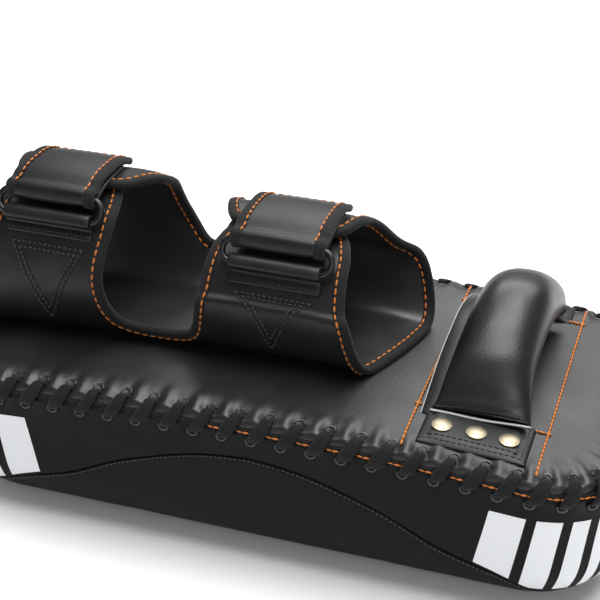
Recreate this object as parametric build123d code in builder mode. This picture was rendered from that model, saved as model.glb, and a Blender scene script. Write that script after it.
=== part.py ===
"""Thai pad: a leather kick pad with a laced back, two forearm cuffs and a padded handle.

Origin: centre of the flat striking face, which lies down on the floor. +X runs along the
pad's length towards the handle end, +Y across it towards the far side, +Z up through the
back. All sizes are in millimetres.
"""
from build123d import *
import math
import os

# ---------------------------------------------------------------- driving dimensions
PAD_LENGTH = 440.0          # along X
PAD_WIDTH = 200.0           # along Y
PAD_THICKNESS = 104.6       # at the crown of the back
BACK_DROP = 10.6            # how far the bowed back falls from crown to each end
PLAN_CORNER = 60.0          # corner radius seen from above
TOP_EDGE_RADIUS = 7.0
FACE_EDGE_RADIUS = 40.0
SKIN = 2.0                  # leather of the casing
GAP = 0.3                   # free play between loose pieces

BACK_LAYER = 44.6           # tapered foam layer under the back, measured from the crown
FOAM_TAPER = 28.0           # degrees: makes room for the lace inside the edge
BACKING = 2.0               # reinforcement under the back panel

LACE_PITCH = 18.1           # wanted spacing of the lace holes along the edge
LACE_WIDTH = 5.2
LACE_THICKNESS = 1.4
LACE_STANDOFF = 1.4         # centre of the lace above the leather
LACE_SLANT = 9.0            # sideways run of each outer band
HOLE_CLEARANCE = 2.8        # room that the slanting lace needs in its holes
HOLE_DIAMETER = LACE_WIDTH + HOLE_CLEARANCE
HOLE_TURN = 1.0             # radius where the lace turns into a hole
TOP_HOLE_INSET = 8.5        # hole centre inboard of the side
SIDE_HOLE_DROP = 14.0       # hole centre below the top of the back
LACE_DEPTH = 5.0            # how far each outer band reaches into its holes
BINDING_START = 4.5         # edge tape, measured down from the back
BINDING_END = 9.0

# wavy seam of the side band: share of the half length, share of the thickness
SEAM_SHAPE = [(0, 0.741), (0.159, 0.698), (0.364, 0.554), (0.518, 0.392), (0.691, 0.258), (0.85, 0.0765)]
SEAM_END_HEIGHT = 6.0
SEAM_SHOULDER = 8.0         # straight run from the wave to its level ends

# handle
HANDLE_FROM_END = 91.5      # handle's middle to the pad's end
PANEL_WIDTH = 77.0          # reinforced strip across the back
PATCH_WIDTH = 63.0
PATCH_THICKNESS = 2.2
NEAR_PATCH_MARGIN = 13.0    # patch edge to the side of the pad
NEAR_PATCH_LENGTH = 36.0
FAR_PATCH_MARGIN = 10.0
FAR_PATCH_LENGTH = 20.0
HANDLE_STRAP_WIDTH = 30.0
HANDLE_STRAP = 2.2          # thickness
STRAP_INSET = 4.0           # strap's end to the patch's outer edge
STRAP_LEAD = 2.0            # flat strap that runs out of the patch
ARCH_FOOT = 6.0             # the strap's arch starts this far under each patch
ARCH_SINK = 1.0             # depth of the arch's feet in the back, trimmed off
ROLL_SKIN = 2.0
ROLL_LEAD = 1.0             # roll ends short of the near patch
ROLL_LAP = 0.0              # roll ends over the far patch
# sections of the roll: share of its span in Y, sideways shift, height of the centre above the
# back, half width, half height, tilt in degrees
ROLL_SHAPE = [(0.0, 0.0, 9.0, 27.0, 8.0, 42.0), (0.2, 0.0, 23.5, 24.5, 17.0, 30.0),
              (0.54, 3.0, 35.0, 23.5, 22.0, 0.0), (0.85, 5.0, 24.0, 23.0, 17.0, -34.0),
              (1.0, 5.0, 9.0, 23.0, 8.0, -50.0)]
FLANGE_PROUD = 6.0          # seam flange stands out of the roll
FLANGE_ROOT = 7.5           # and reaches into it
FLANGE_THICKNESS = 5.0
RIVET_CAP = 12.0
RIVET_SHANK = 4.0
RIVET_DOME = 1.4            # rise of the cap above its rim
RIVET_RIM = 0.8             # straight edge under the dome
RIVET_SEAT = 0.5            # cap reaches into the patch before it is trimmed to it
RIVET_OFFSETS = [-20.0, 0.0, 19.0]
NEAR_RIVET_INSET = 15.0     # rivet row to the patch's outer edge
FAR_RIVET_INSET = 8.0
BACKING_MARGIN = 8.0        # backing is this much longer than the stitched panel
BACKING_INSET = 4.0         # backing's ends to the sides of the pad
WASHER = 1.5

# forearm cradle
SHEET = 3.5                 # leather of the cradle
BASE_HALF_WIDTH = 34.0
CUFF_HALF_WIDTH = 46.0      # centre of the wall at its widest
WALL_LEAN = 4.0             # walls are this much nearer the middle above and below the widest
WALL_FOOT = 8.0             # walls start this far below the base before they are trimmed
WALL_WIDEST = 40.0          # widest point above the base
WALL_BEND = 15.0            # lower bend above the base
CRADLE_SINK = 2.0           # base below the crown
CRADLE_BORDER = 6.0         # width of the bound edge
CRADLE_END_MARGIN = 16.0    # cradle to the pad's left end
CRADLE_HANDLE_GAP = 14.0    # cradle to the stitched panel of the handle
CRADLE_NEAR_GAP = 22.0      # near side of the cradle ends short of its far side
BASE_POINT = 17.0           # Y where the base reaches its full length
STRAP_WIDTH = 57.0
STRAP = 2.5                 # thickness
PATCH_LAYER = 1.0           # hook or loop tape
TAB = 2.0                   # leather of the ring tab
RING_WIRE = 4.0
RING_MARGIN = 15.0          # ring is this much wider than the strap
RING_WIDTH = STRAP_WIDTH + RING_MARGIN
RING_SPAN = 14.5            # centre to centre of its two bars
RING_TILT = 56.5            # degrees above the horizontal, tangent to the cuff

RING_Y = -30.0              # upper bar
RING_DROP = 0.7             # upper bar below the flap's top
TAB_ROUTE = [(-1.0, 0.0), (-7.0, -1.3), (-13.0, -2.4)]  # from the lower bar, along and outward

LAP_START = -5.0            # Y range where the strap's layers lie flat on each other
LAP_END = 11.0
LAP_SPARE = 1.0             # layers run on by this before they bend
FLAP_SPARE = 2.0            # flaps run on by this before they bend
FEED_LEAD = 2.5             # feed passes under the ring bar between these two
FEED_TAIL = 2.0
TAPE_INSET = 5.0
TIP = 26.0                  # Y of the strap's free end
TIP_DROP = 6.0

# flaps of the two cuffs: Y and depth below the flap's top
NEAR_FLAP = [(9.0, 7.7), (-14.0, 8.4), (-30.0, 16.0), (-42.0, 33.0)]
FAR_FLAP = [(41.0, 27.0), (28.0, 9.0)]

# name, flap top above the crown, and flap edges beyond the strap: near and far, left and right
CUFFS = {
    "left": dict(rise=89.6, near=(9.0, 10.0), far=(17.0, 28.0)),
    "right": dict(rise=79.4, near=(15.5, 12.5), far=(18.5, 14.5)),
}
LEFT_CUFF_INSET = 55.5      # cuff's middle to the left end of the cradle
RIGHT_CUFF_INSET = 79.0     # cuff's middle to the right end of the cradle

# ---------------------------------------------------------------- derived values
BOW_RADIUS = ((PAD_LENGTH / 2) ** 2 + BACK_DROP ** 2) / (2 * BACK_DROP)
BOW_CENTRE = PAD_THICKNESS - BOW_RADIUS
HIGH = 400.0                # taller than anything here
FACE_FOAM_TOP = FACE_EDGE_RADIUS            # dense striking layer fills the rolled lower edge
CORE_FOAM_TOP = PAD_THICKNESS - BACK_LAYER
SEAM_POINTS = [(along * PAD_LENGTH / 2, up * PAD_THICKNESS) for along, up in SEAM_SHAPE]

HANDLE_X = PAD_LENGTH / 2 - HANDLE_FROM_END
PANEL_START = HANDLE_X - PANEL_WIDTH / 2
PANEL_END = HANDLE_X + PANEL_WIDTH / 2
NEAR_PATCH_START = -PAD_WIDTH / 2 + NEAR_PATCH_MARGIN
NEAR_PATCH = (NEAR_PATCH_START, NEAR_PATCH_START + NEAR_PATCH_LENGTH)
FAR_PATCH_END = PAD_WIDTH / 2 - FAR_PATCH_MARGIN
FAR_PATCH = (FAR_PATCH_END - FAR_PATCH_LENGTH, FAR_PATCH_END)
NEAR_RIVET_Y = NEAR_PATCH[0] + NEAR_RIVET_INSET
FAR_RIVET_Y = FAR_PATCH[1] - FAR_RIVET_INSET
RIVET_ROWS = [NEAR_RIVET_Y, FAR_RIVET_Y]

CRADLE_BASE = PAD_THICKNESS - CRADLE_SINK
CRADLE_LEFT = -PAD_LENGTH / 2 + CRADLE_END_MARGIN
CRADLE_RIGHT = PANEL_START - CRADLE_HANDLE_GAP
CRADLE_NEAR_RIGHT = CRADLE_RIGHT - CRADLE_NEAR_GAP
LEFT_X = CRADLE_LEFT + LEFT_CUFF_INSET
RIGHT_X = CRADLE_RIGHT - RIGHT_CUFF_INSET

os.makedirs("parts", exist_ok=True)


def back_height(x):
    """Height of the outer back surface at X."""
    return BOW_CENTRE + math.sqrt(BOW_RADIUS ** 2 - x ** 2)


def bow_plane(x, y, lift=0.0):
    """Plane lying on the bowed back at X, Y, its normal pointing out of the back."""
    angle = math.asin(x / BOW_RADIUS)
    radius = BOW_RADIUS + lift
    origin = (radius * math.sin(angle), y, BOW_CENTRE + radius * math.cos(angle))
    return Plane(origin=origin, x_dir=(math.cos(angle), 0, -math.sin(angle)),
                 z_dir=(math.sin(angle), 0, math.cos(angle)))


def below_bow(offset):
    """Solid that holds everything up to the back surface raised by offset."""
    with BuildPart() as body:
        with BuildSketch(Plane.XZ.offset(-HIGH / 2)):
            with Locations((0, BOW_CENTRE)):
                Circle(BOW_RADIUS + offset)
            Rectangle(PAD_LENGTH + 100, HIGH, mode=Mode.INTERSECT)
        extrude(amount=HIGH)
    return body.part


def bow_layer(low, high):
    """Solid between two surfaces parallel to the back."""
    with BuildPart() as layer:
        add(below_bow(high))
        add(below_bow(low), mode=Mode.SUBTRACT)
    return layer.part


def pad_block(inset, top_fillet):
    """The pad's outer form, shrunk by inset on every side."""
    with BuildPart() as block:
        with BuildSketch(Plane.XY.offset(inset)):
            RectangleRounded(PAD_LENGTH - 2 * inset, PAD_WIDTH - 2 * inset, PLAN_CORNER - inset)
        extrude(amount=PAD_THICKNESS + 10)
        add(below_bow(-inset), mode=Mode.INTERSECT)
        fillet(block.faces().sort_by(Axis.Z)[0].edges(), FACE_EDGE_RADIUS - inset)
        if top_fillet > 0:
            fillet(block.faces().sort_by(Axis.Z)[-1].edges(), top_fillet)
    return block.part


def finish(part, name):
    """Label one sub-part and write it out."""
    part.label = name
    export_step(part, f"parts/{name}.step")


# ---------------------------------------------------------------- casing
outer_block = pad_block(0.0, TOP_EDGE_RADIUS)
inner_block = pad_block(SKIN, TOP_EDGE_RADIUS - SKIN)

with BuildPart() as casing:
    add(outer_block)
    add(inner_block, mode=Mode.SUBTRACT)


def seam_profile():
    """Everything under the wavy seam between face panel and side band."""
    middle = [(-x, z) for x, z in reversed(SEAM_POINTS)] + SEAM_POINTS[1:]
    end = PAD_LENGTH / 2 + 20
    shoulder = SEAM_POINTS[-1][0] + SEAM_SHOULDER
    with BuildPart() as region:
        with BuildSketch(Plane.XZ.offset(-HIGH / 2)):
            with BuildLine():
                wave = Spline(*middle)
                Polyline(wave @ 1, (shoulder, SEAM_END_HEIGHT), (end, SEAM_END_HEIGHT),
                         (end, -20), (-end, -20), (-end, SEAM_END_HEIGHT),
                         (-shoulder, SEAM_END_HEIGHT), wave @ 0)
            make_face()
        extrude(amount=HIGH)
    return region.part


def edge_frame(distance):
    """Point on the top outline, outward normal and tangent, at a distance round the pad."""
    half_l = PAD_LENGTH / 2 - PLAN_CORNER
    half_w = PAD_WIDTH / 2 - PLAN_CORNER
    quarter = math.pi * PLAN_CORNER / 2
    runs = [(2 * half_l, (half_l, -half_w), -90), (quarter, (half_l, -half_w), -90),
            (2 * half_w, (half_l, half_w), 0), (quarter, (half_l, half_w), 0),
            (2 * half_l, (-half_l, half_w), 90), (quarter, (-half_l, half_w), 90),
            (2 * half_w, (-half_l, -half_w), 180), (quarter, (-half_l, -half_w), 180)]
    for index, (length, centre, degrees) in enumerate(runs):
        if distance <= length:
            break
        distance -= length
    turn = math.radians(degrees)
    back_off = length - distance if index % 2 == 0 else 0.0
    if index % 2 == 1:
        turn += distance / PLAN_CORNER
    normal = Vector(math.cos(turn), math.sin(turn), 0)
    tangent = Vector(-math.sin(turn), math.cos(turn), 0)
    point = Vector(centre[0], centre[1], 0) + normal * PLAN_CORNER - tangent * back_off
    return point, normal, tangent


def edge_point(distance, outward, drop):
    """Point beside the pad's top edge: outward of the side, and drop below the back."""
    point, normal, tangent = edge_frame(distance)
    place = point + normal * outward
    return Vector(place.X, place.Y, back_height(point.X) - drop)


PERIMETER = (2 * (PAD_LENGTH - 2 * PLAN_CORNER) + 2 * (PAD_WIDTH - 2 * PLAN_CORNER)
             + 2 * math.pi * PLAN_CORNER)
STITCHES = round(PERIMETER / LACE_PITCH)
PITCH = PERIMETER / STITCHES


def stitch_distances(index):
    """Distances round the pad of one stitch's top hole and of its side hole."""
    top = (index + 0.5) * PITCH
    side = (top - LACE_SLANT) % PERIMETER
    return top, side


with BuildPart() as top_holes:
    for number in range(STITCHES):
        top = stitch_distances(number)[0]
        with Locations(Plane(edge_point(top, -TOP_HOLE_INSET, 0), z_dir=(0, 0, 1))):
            Cylinder(HOLE_DIAMETER / 2, 4 * SKIN)

with BuildPart() as side_holes:
    for number in range(STITCHES):
        side = stitch_distances(number)[1]
        normal = edge_frame(side)[1]
        with Locations(Plane(edge_point(side, 0, SIDE_HOLE_DROP), z_dir=normal)):
            Cylinder(HOLE_DIAMETER / 2, 4 * SKIN)

with BuildPart() as seam_binding:
    add(casing.part)
    add(bow_layer(-BINDING_END, -BINDING_START), mode=Mode.INTERSECT)

with BuildPart() as side_band:
    add(casing.part)
    add(below_bow(-BINDING_END), mode=Mode.INTERSECT)
    add(seam_profile(), mode=Mode.SUBTRACT)
    add(side_holes.part, mode=Mode.SUBTRACT)

with BuildPart() as face_panel:
    add(casing.part)
    add(seam_profile(), mode=Mode.INTERSECT)


# ---------------------------------------------------------------- lace
def outer_band(index):
    """The visible flat band of one stitch, from its top hole over the edge to its side hole."""
    top, side = stitch_distances(index)
    above = edge_point(top, 0, 0)
    beneath = edge_point(side, 0, SIDE_HOLE_DROP)
    middle = (edge_frame(top)[1] + edge_frame(side)[1]).normalized()
    down = beneath - above
    across = (middle - down.normalized() * middle.dot(down.normalized())).normalized()
    plane = Plane(origin=above, x_dir=across, z_dir=across.cross(down * -1))
    depth = down.length
    out = LACE_STANDOFF
    with BuildPart() as band:
        with BuildLine(plane):
            path = FilletPolyline((-TOP_HOLE_INSET, -LACE_DEPTH), (-TOP_HOLE_INSET, out), (out, out),
                                  (out, -depth), (-LACE_DEPTH, -depth),
                                  radius=[HOLE_TURN, TOP_EDGE_RADIUS, HOLE_TURN])
        with BuildSketch(Plane(origin=path @ 0, x_dir=plane.z_dir, z_dir=path % 0)):
            Rectangle(LACE_WIDTH, LACE_THICKNESS)
        sweep(path=path)
    return band.part


def inner_run(index):
    """The hidden run inside the edge, from one side hole up to the next top hole."""
    start = edge_point(stitch_distances(index)[1], -LACE_DEPTH, SIDE_HOLE_DROP)
    end = edge_point(stitch_distances((index - 1) % STITCHES)[0], -TOP_HOLE_INSET, LACE_DEPTH - HOLE_TURN)
    run = end - start
    tangent = edge_frame(stitch_distances(index)[1])[2]
    with BuildPart() as inner:
        with BuildSketch(Plane(origin=start, x_dir=tangent.cross(run).cross(run) * -1, z_dir=run)):
            Rectangle(LACE_WIDTH, LACE_THICKNESS)
        extrude(amount=run.length)
    return inner.part


with BuildPart() as lace:
    add([outer_band(number) for number in range(STITCHES)]
        + [inner_run(number) for number in range(STITCHES)])

# ---------------------------------------------------------------- filling
with BuildPart() as tapered_region:
    with BuildSketch(Plane.XY.offset(CORE_FOAM_TOP)):
        RectangleRounded(PAD_LENGTH - 2 * SKIN, PAD_WIDTH - 2 * SKIN, PLAN_CORNER - SKIN)
    extrude(amount=PAD_THICKNESS - CORE_FOAM_TOP, taper=FOAM_TAPER)

with BuildPart() as back_filling:
    add(tapered_region.part)
    add(below_bow(-SKIN), mode=Mode.INTERSECT)

with BuildPart() as face_foam:
    add(inner_block)
    split(bisect_by=Plane.XY.offset(FACE_FOAM_TOP), keep=Keep.BOTTOM)

with BuildPart() as core_foam:
    with BuildSketch(Plane.XY.offset(FACE_FOAM_TOP)):
        RectangleRounded(PAD_LENGTH - 2 * SKIN, PAD_WIDTH - 2 * SKIN, PLAN_CORNER - SKIN)
    extrude(amount=CORE_FOAM_TOP - FACE_FOAM_TOP)

# ---------------------------------------------------------------- rivets
STACK = HANDLE_STRAP + PATCH_THICKNESS      # leather above the back panel
GRIP = SKIN + BACKING                       # leather below it


def rivet_spots(y):
    """Planes on the back at each rivet of one patch."""
    return [bow_plane(HANDLE_X + offset, y) for offset in RIVET_OFFSETS]


def rivet_cylinders(y, diameter, low, high):
    """Straight round pins at each rivet, between two lifts above the back."""
    with BuildPart() as group:
        for spot in rivet_spots(y):
            with BuildSketch(spot.offset(low)):
                Circle(diameter / 2)
            extrude(amount=high - low)
    return group.part


def shanks(y):
    """The shanks of one row, and the holes that they fill."""
    return rivet_cylinders(y, RIVET_SHANK, -GRIP - WASHER, STACK)


def rivets(y):
    """Domed rivets through patch, strap, back panel and backing."""
    radius = ((RIVET_CAP / 2) ** 2 + RIVET_DOME ** 2) / (2 * RIVET_DOME)
    crown = STACK + RIVET_RIM + RIVET_DOME
    with BuildPart() as domes:
        with Locations([spot.offset(crown - radius) for spot in rivet_spots(y)]):
            Sphere(radius)
    with BuildPart() as group:
        add(rivet_cylinders(y, RIVET_CAP, STACK - RIVET_SEAT, crown))
        add(domes.part, mode=Mode.INTERSECT)
        add(below_bow(STACK), mode=Mode.SUBTRACT)
        add(shanks(y))
    return group.part


def rivet_washers(y):
    """Washers under the backing, one for each rivet."""
    with BuildPart() as group:
        add(rivet_cylinders(y, RIVET_CAP, -GRIP - WASHER, -GRIP))
        add(rivet_cylinders(y, RIVET_SHANK, -GRIP - WASHER, -GRIP), mode=Mode.SUBTRACT)
        add(below_bow(-GRIP), mode=Mode.INTERSECT)
    return group.part


with BuildPart() as back_panel:
    add(casing.part)
    add(below_bow(-BINDING_START), mode=Mode.SUBTRACT)
    add(top_holes.part, mode=Mode.SUBTRACT)
    for row in RIVET_ROWS:
        add(shanks(row), mode=Mode.SUBTRACT)

with BuildPart() as handle_backing:
    with BuildSketch(Plane.XY.offset(CORE_FOAM_TOP)):
        with Locations((HANDLE_X, 0)):
            Rectangle(PANEL_WIDTH + BACKING_MARGIN, PAD_WIDTH - 2 * BACKING_INSET)
    extrude(amount=PAD_THICKNESS)
    add(back_filling.part, mode=Mode.INTERSECT)
    add(below_bow(-GRIP), mode=Mode.SUBTRACT)
    for row in RIVET_ROWS:
        add(shanks(row), mode=Mode.SUBTRACT)

with BuildPart() as back_foam:
    add(back_filling.part)
    add(handle_backing.part, mode=Mode.SUBTRACT)
    for row in RIVET_ROWS:
        add(rivet_cylinders(row, RIVET_CAP, -GRIP - WASHER, 0), mode=Mode.SUBTRACT)


# ---------------------------------------------------------------- handle
def plan_layer(x_range, y_range, low, high):
    """Rectangular sheet lying on the bowed back, between two lifts."""
    with BuildPart() as layer:
        with BuildSketch(Plane.XY):
            with Locations(((x_range[0] + x_range[1]) / 2, (y_range[0] + y_range[1]) / 2)):
                Rectangle(x_range[1] - x_range[0], y_range[1] - y_range[0])
        extrude(amount=HIGH)
        add(bow_layer(low, high), mode=Mode.INTERSECT)
    return layer.part


HANDLE_BACK = back_height(HANDLE_X)
STRAP_RANGE = (HANDLE_X - HANDLE_STRAP_WIDTH / 2, HANDLE_X + HANDLE_STRAP_WIDTH / 2)
PATCH_RANGE = (HANDLE_X - PATCH_WIDTH / 2, HANDLE_X + PATCH_WIDTH / 2)
ROLL_START = NEAR_PATCH[1] + ROLL_LEAD
ROLL_END = FAR_PATCH[0] + ROLL_LAP


def roll_y(share):
    """Y at a share of the roll's span."""
    return ROLL_START + share * (ROLL_END - ROLL_START)


def roll_form(shrink):
    """The padded roll: elliptical sections lofted along its arch."""
    with BuildPart() as roll:
        for share, shift, height, half_width, half_height, tilt in ROLL_SHAPE:
            angle = math.radians(tilt)
            plane = Plane(origin=(HANDLE_X + shift, roll_y(share), HANDLE_BACK + height),
                          x_dir=(1, 0, 0), z_dir=(0, math.cos(angle), math.sin(angle)))
            with BuildSketch(plane):
                Ellipse(half_width - shrink, half_height - shrink)
        loft()
    return roll.part


def arch_strip(x_range, thickness):
    """A flat strip that follows the roll's centre line, extruded along X."""
    points = [(roll_y(section[0]), HANDLE_BACK + section[2]) for section in ROLL_SHAPE]
    near_foot = (NEAR_PATCH[1] - ARCH_FOOT, HANDLE_BACK - ARCH_SINK)
    far_foot = (FAR_PATCH[0] + ARCH_FOOT, HANDLE_BACK - ARCH_SINK)
    with BuildPart() as strip:
        with BuildSketch(Plane.YZ.offset(x_range[0])):
            with BuildLine():
                Spline(near_foot, *points, far_foot)
            trace(line_width=thickness)
        extrude(amount=x_range[1] - x_range[0])
    return strip.part


outer_roll = roll_form(0.0)
inner_roll = roll_form(ROLL_SKIN)

with BuildPart() as handle_strap:
    add(arch_strip(STRAP_RANGE, HANDLE_STRAP))
    add(plan_layer(STRAP_RANGE, (NEAR_PATCH[0] + STRAP_INSET, NEAR_PATCH[1] + STRAP_LEAD), 0, HANDLE_STRAP))
    add(plan_layer(STRAP_RANGE, (FAR_PATCH[0] - STRAP_LEAD, FAR_PATCH[1] - STRAP_INSET), 0, HANDLE_STRAP))
    add(below_bow(0), mode=Mode.SUBTRACT)
    for row in RIVET_ROWS:
        add(shanks(row), mode=Mode.SUBTRACT)

with BuildPart() as handle_foam:
    add(inner_roll)
    add(arch_strip(STRAP_RANGE, HANDLE_STRAP), mode=Mode.SUBTRACT)
    add(handle_strap.part, mode=Mode.SUBTRACT)
    add(below_bow(0), mode=Mode.SUBTRACT)

ROLL_SIDE = HANDLE_X - max(section[3] - section[1] for section in ROLL_SHAPE)
FLANGE_RANGE = (ROLL_SIDE - FLANGE_PROUD, ROLL_SIDE + FLANGE_ROOT)
with BuildPart() as handle_cover:
    add(outer_roll)
    add(arch_strip(FLANGE_RANGE, FLANGE_THICKNESS))
    add(inner_roll, mode=Mode.SUBTRACT)
    add(below_bow(0), mode=Mode.SUBTRACT)
    add(handle_strap.part, mode=Mode.SUBTRACT)


def patch(y_range, row):
    """Leather patch over one end of the handle strap, under its rivets."""
    with BuildPart() as piece:
        add(plan_layer(PATCH_RANGE, y_range, 0, STACK))
        add(handle_strap.part, mode=Mode.SUBTRACT)
        add(handle_cover.part, mode=Mode.SUBTRACT)
        add(handle_foam.part, mode=Mode.SUBTRACT)
        add(shanks(row), mode=Mode.SUBTRACT)
    return piece.part


near_patch = patch(NEAR_PATCH, NEAR_RIVET_Y)
far_patch = patch(FAR_PATCH, FAR_RIVET_Y)

# ---------------------------------------------------------------- forearm cradle
def cuff_path(top):
    """Points of the cradle's section: tongue and near wall, then far wall and far flap."""
    low = CRADLE_BASE
    wide = CUFF_HALF_WIDTH
    lean = wide - WALL_LEAN
    near = [(y, top - depth) for y, depth in NEAR_FLAP]
    near += [(-wide, low + WALL_WIDEST), (-lean, low + WALL_BEND), (-BASE_HALF_WIDTH, low - WALL_FOOT)]
    far = [(BASE_HALF_WIDTH, low - WALL_FOOT), (lean, low + WALL_BEND), (wide, low + WALL_WIDEST)]
    far += [(y, top - depth) for y, depth in FAR_FLAP]
    far.append((LAP_END + FLAP_SPARE, top - SHEET / 2))
    return near, far


def cuff_walls(top, x_range):
    """Both walls and flaps of one cuff as bent sheets, extruded along X."""
    near, far = cuff_path(top)
    with BuildPart() as walls:
        with BuildSketch(Plane.YZ.offset(x_range[0])):
            with BuildLine():
                Spline(*near)
            trace(line_width=SHEET)
            with BuildLine():
                wall = Spline(*far, tangents=[(0.5, 1), (-1, 0)])
                Line(wall @ 1, (LAP_START - FLAP_SPARE, top - SHEET / 2))
            trace(line_width=SHEET)
        extrude(amount=x_range[1] - x_range[0])
    return walls.part


def flap_edges(name, centre_x, side):
    """X of a flap's left and right edges on one side of a cuff."""
    left, right = CUFFS[name][side]
    return centre_x - STRAP_WIDTH / 2 - left, centre_x + STRAP_WIDTH / 2 + right


LEFT_TOP = PAD_THICKNESS + CUFFS["left"]["rise"]
RIGHT_TOP = PAD_THICKNESS + CUFFS["right"]["rise"]
LEFT_NEAR = flap_edges("left", LEFT_X, "near")
LEFT_FAR = flap_edges("left", LEFT_X, "far")
RIGHT_NEAR = flap_edges("right", RIGHT_X, "near")
RIGHT_FAR = flap_edges("right", RIGHT_X, "far")
MIDDLE = (LEFT_NEAR[1] + RIGHT_NEAR[0]) / 2
OUTSIDE = PAD_LENGTH / 2 + 40       # cut-outs reach past both ends of the cradle
BASE_OUTLINE = [(CRADLE_LEFT, BASE_HALF_WIDTH), (CRADLE_LEFT, -BASE_HALF_WIDTH),
                (CRADLE_NEAR_RIGHT, -BASE_HALF_WIDTH), (CRADLE_RIGHT, BASE_POINT),
                (CRADLE_RIGHT, BASE_HALF_WIDTH)]

# cut-outs beside the flaps: X, and height above the crown
ABOVE = 160.0
BELOW = -45.0
NEAR_GAP = [(LEFT_NEAR[1], ABOVE), (LEFT_NEAR[1], 67.4), (LEFT_NEAR[1] - 2, 35.4),
            (LEFT_NEAR[1] + 8, 12.4), (RIGHT_NEAR[0] - 15, 12.4), (RIGHT_NEAR[0] - 7, 21.4),
            (RIGHT_NEAR[0], 65.4), (RIGHT_NEAR[0], ABOVE)]
NEAR_RIGHT = [(RIGHT_NEAR[1], ABOVE), (RIGHT_NEAR[1], 67.4), (CRADLE_NEAR_RIGHT, 17.4),
              (CRADLE_NEAR_RIGHT, BELOW), (OUTSIDE, BELOW), (OUTSIDE, ABOVE)]
NEAR_LEFT = [(LEFT_NEAR[0], ABOVE), (LEFT_NEAR[0], 67.4), (LEFT_NEAR[0] - 14, 17.4),
             (CRADLE_LEFT, -0.6), (CRADLE_LEFT, BELOW), (-OUTSIDE, BELOW), (-OUTSIDE, ABOVE)]
FAR_GAP = [(LEFT_FAR[1], ABOVE), (LEFT_FAR[1], 59.4), (LEFT_FAR[1] + 8, 30.4),
           (RIGHT_FAR[0] - 18, 28.4), (RIGHT_FAR[0], 59.4), (RIGHT_FAR[0], ABOVE)]
FAR_RIGHT = [(RIGHT_FAR[1], ABOVE), (RIGHT_FAR[1], 56.4), (CRADLE_RIGHT - 10, 25.4),
             (CRADLE_RIGHT, 7.4), (CRADLE_RIGHT, BELOW), (OUTSIDE, BELOW), (OUTSIDE, ABOVE)]
FAR_LEFT = [(LEFT_FAR[0], ABOVE), (LEFT_FAR[0], 56.4), (LEFT_FAR[0] - 8, 25.4), (CRADLE_LEFT, 7.4),
            (CRADLE_LEFT, BELOW), (-OUTSIDE, BELOW), (-OUTSIDE, ABOVE)]


def cutter(points, near_side, grow):
    """Cut-out between or beside the flaps, grown when it marks the bound border."""
    with BuildPart() as tool:
        with BuildSketch(Plane.XZ):
            Polygon(*[(x, PAD_THICKNESS + height) for x, height in points], align=None)
            if grow > 0:
                offset(amount=grow)
        extrude(amount=PAD_WIDTH / 2 if near_side else -PAD_WIDTH / 2)
    return tool.part


def cutters(grow):
    """All six cut-outs of the cradle."""
    sides = [(NEAR_GAP, True), (NEAR_RIGHT, True), (NEAR_LEFT, True),
             (FAR_GAP, False), (FAR_RIGHT, False), (FAR_LEFT, False)]
    return [cutter(points, near_side, grow) for points, near_side in sides]


with BuildPart() as base_sheet:
    with BuildSketch(Plane.XY):
        Polygon(*BASE_OUTLINE, align=None)
    extrude(amount=HIGH)
    add(bow_layer(0, SHEET), mode=Mode.INTERSECT)

with BuildPart() as cradle_sheet:
    add(cuff_walls(LEFT_TOP, (CRADLE_LEFT, MIDDLE)))
    add(cuff_walls(RIGHT_TOP, (MIDDLE, CRADLE_RIGHT)))
    for tool in cutters(0.0):
        add(tool, mode=Mode.SUBTRACT)
    add(base_sheet.part)
    add(below_bow(0), mode=Mode.SUBTRACT)

with BuildPart() as border_region:
    for tool in cutters(CRADLE_BORDER):
        add(tool)

with BuildPart() as cradle_binding:
    add(cradle_sheet.part)
    add(border_region.part, mode=Mode.INTERSECT)

with BuildPart() as arm_cradle:
    add(cradle_sheet.part)
    add(border_region.part, mode=Mode.SUBTRACT)

# ---------------------------------------------------------------- cuff hardware
TILT = math.radians(RING_TILT)
ALONG = (math.cos(TILT), math.sin(TILT))        # up the cuff, in Y and Z
OUTWARD = (-math.sin(TILT), math.cos(TILT))     # away from the cuff, in Y and Z
WIRE = RING_WIRE / 2
WRAP = WIRE + GAP + STRAP / 2                   # centre of the strap round the bar
FEED = WRAP + STRAP + GAP                       # centre of the strap under the wrap


def from_bar(bar, along, outward):
    """Point beside a ring bar, in Y and Z."""
    return (bar[0] + along * ALONG[0] + outward * OUTWARD[0],
            bar[1] + along * ALONG[1] + outward * OUTWARD[1])


def tape(centre_x, low):
    """Hook or loop tape lying flat on top of a cuff, with its underside at low."""
    with BuildPart() as piece:
        with BuildSketch(Plane.XY.offset(low)):
            with Locations((centre_x, (LAP_START + LAP_END) / 2)):
                Rectangle(STRAP_WIDTH - 2 * TAPE_INSET, LAP_END - LAP_START)
        extrude(amount=PATCH_LAYER)
    return piece.part


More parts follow.
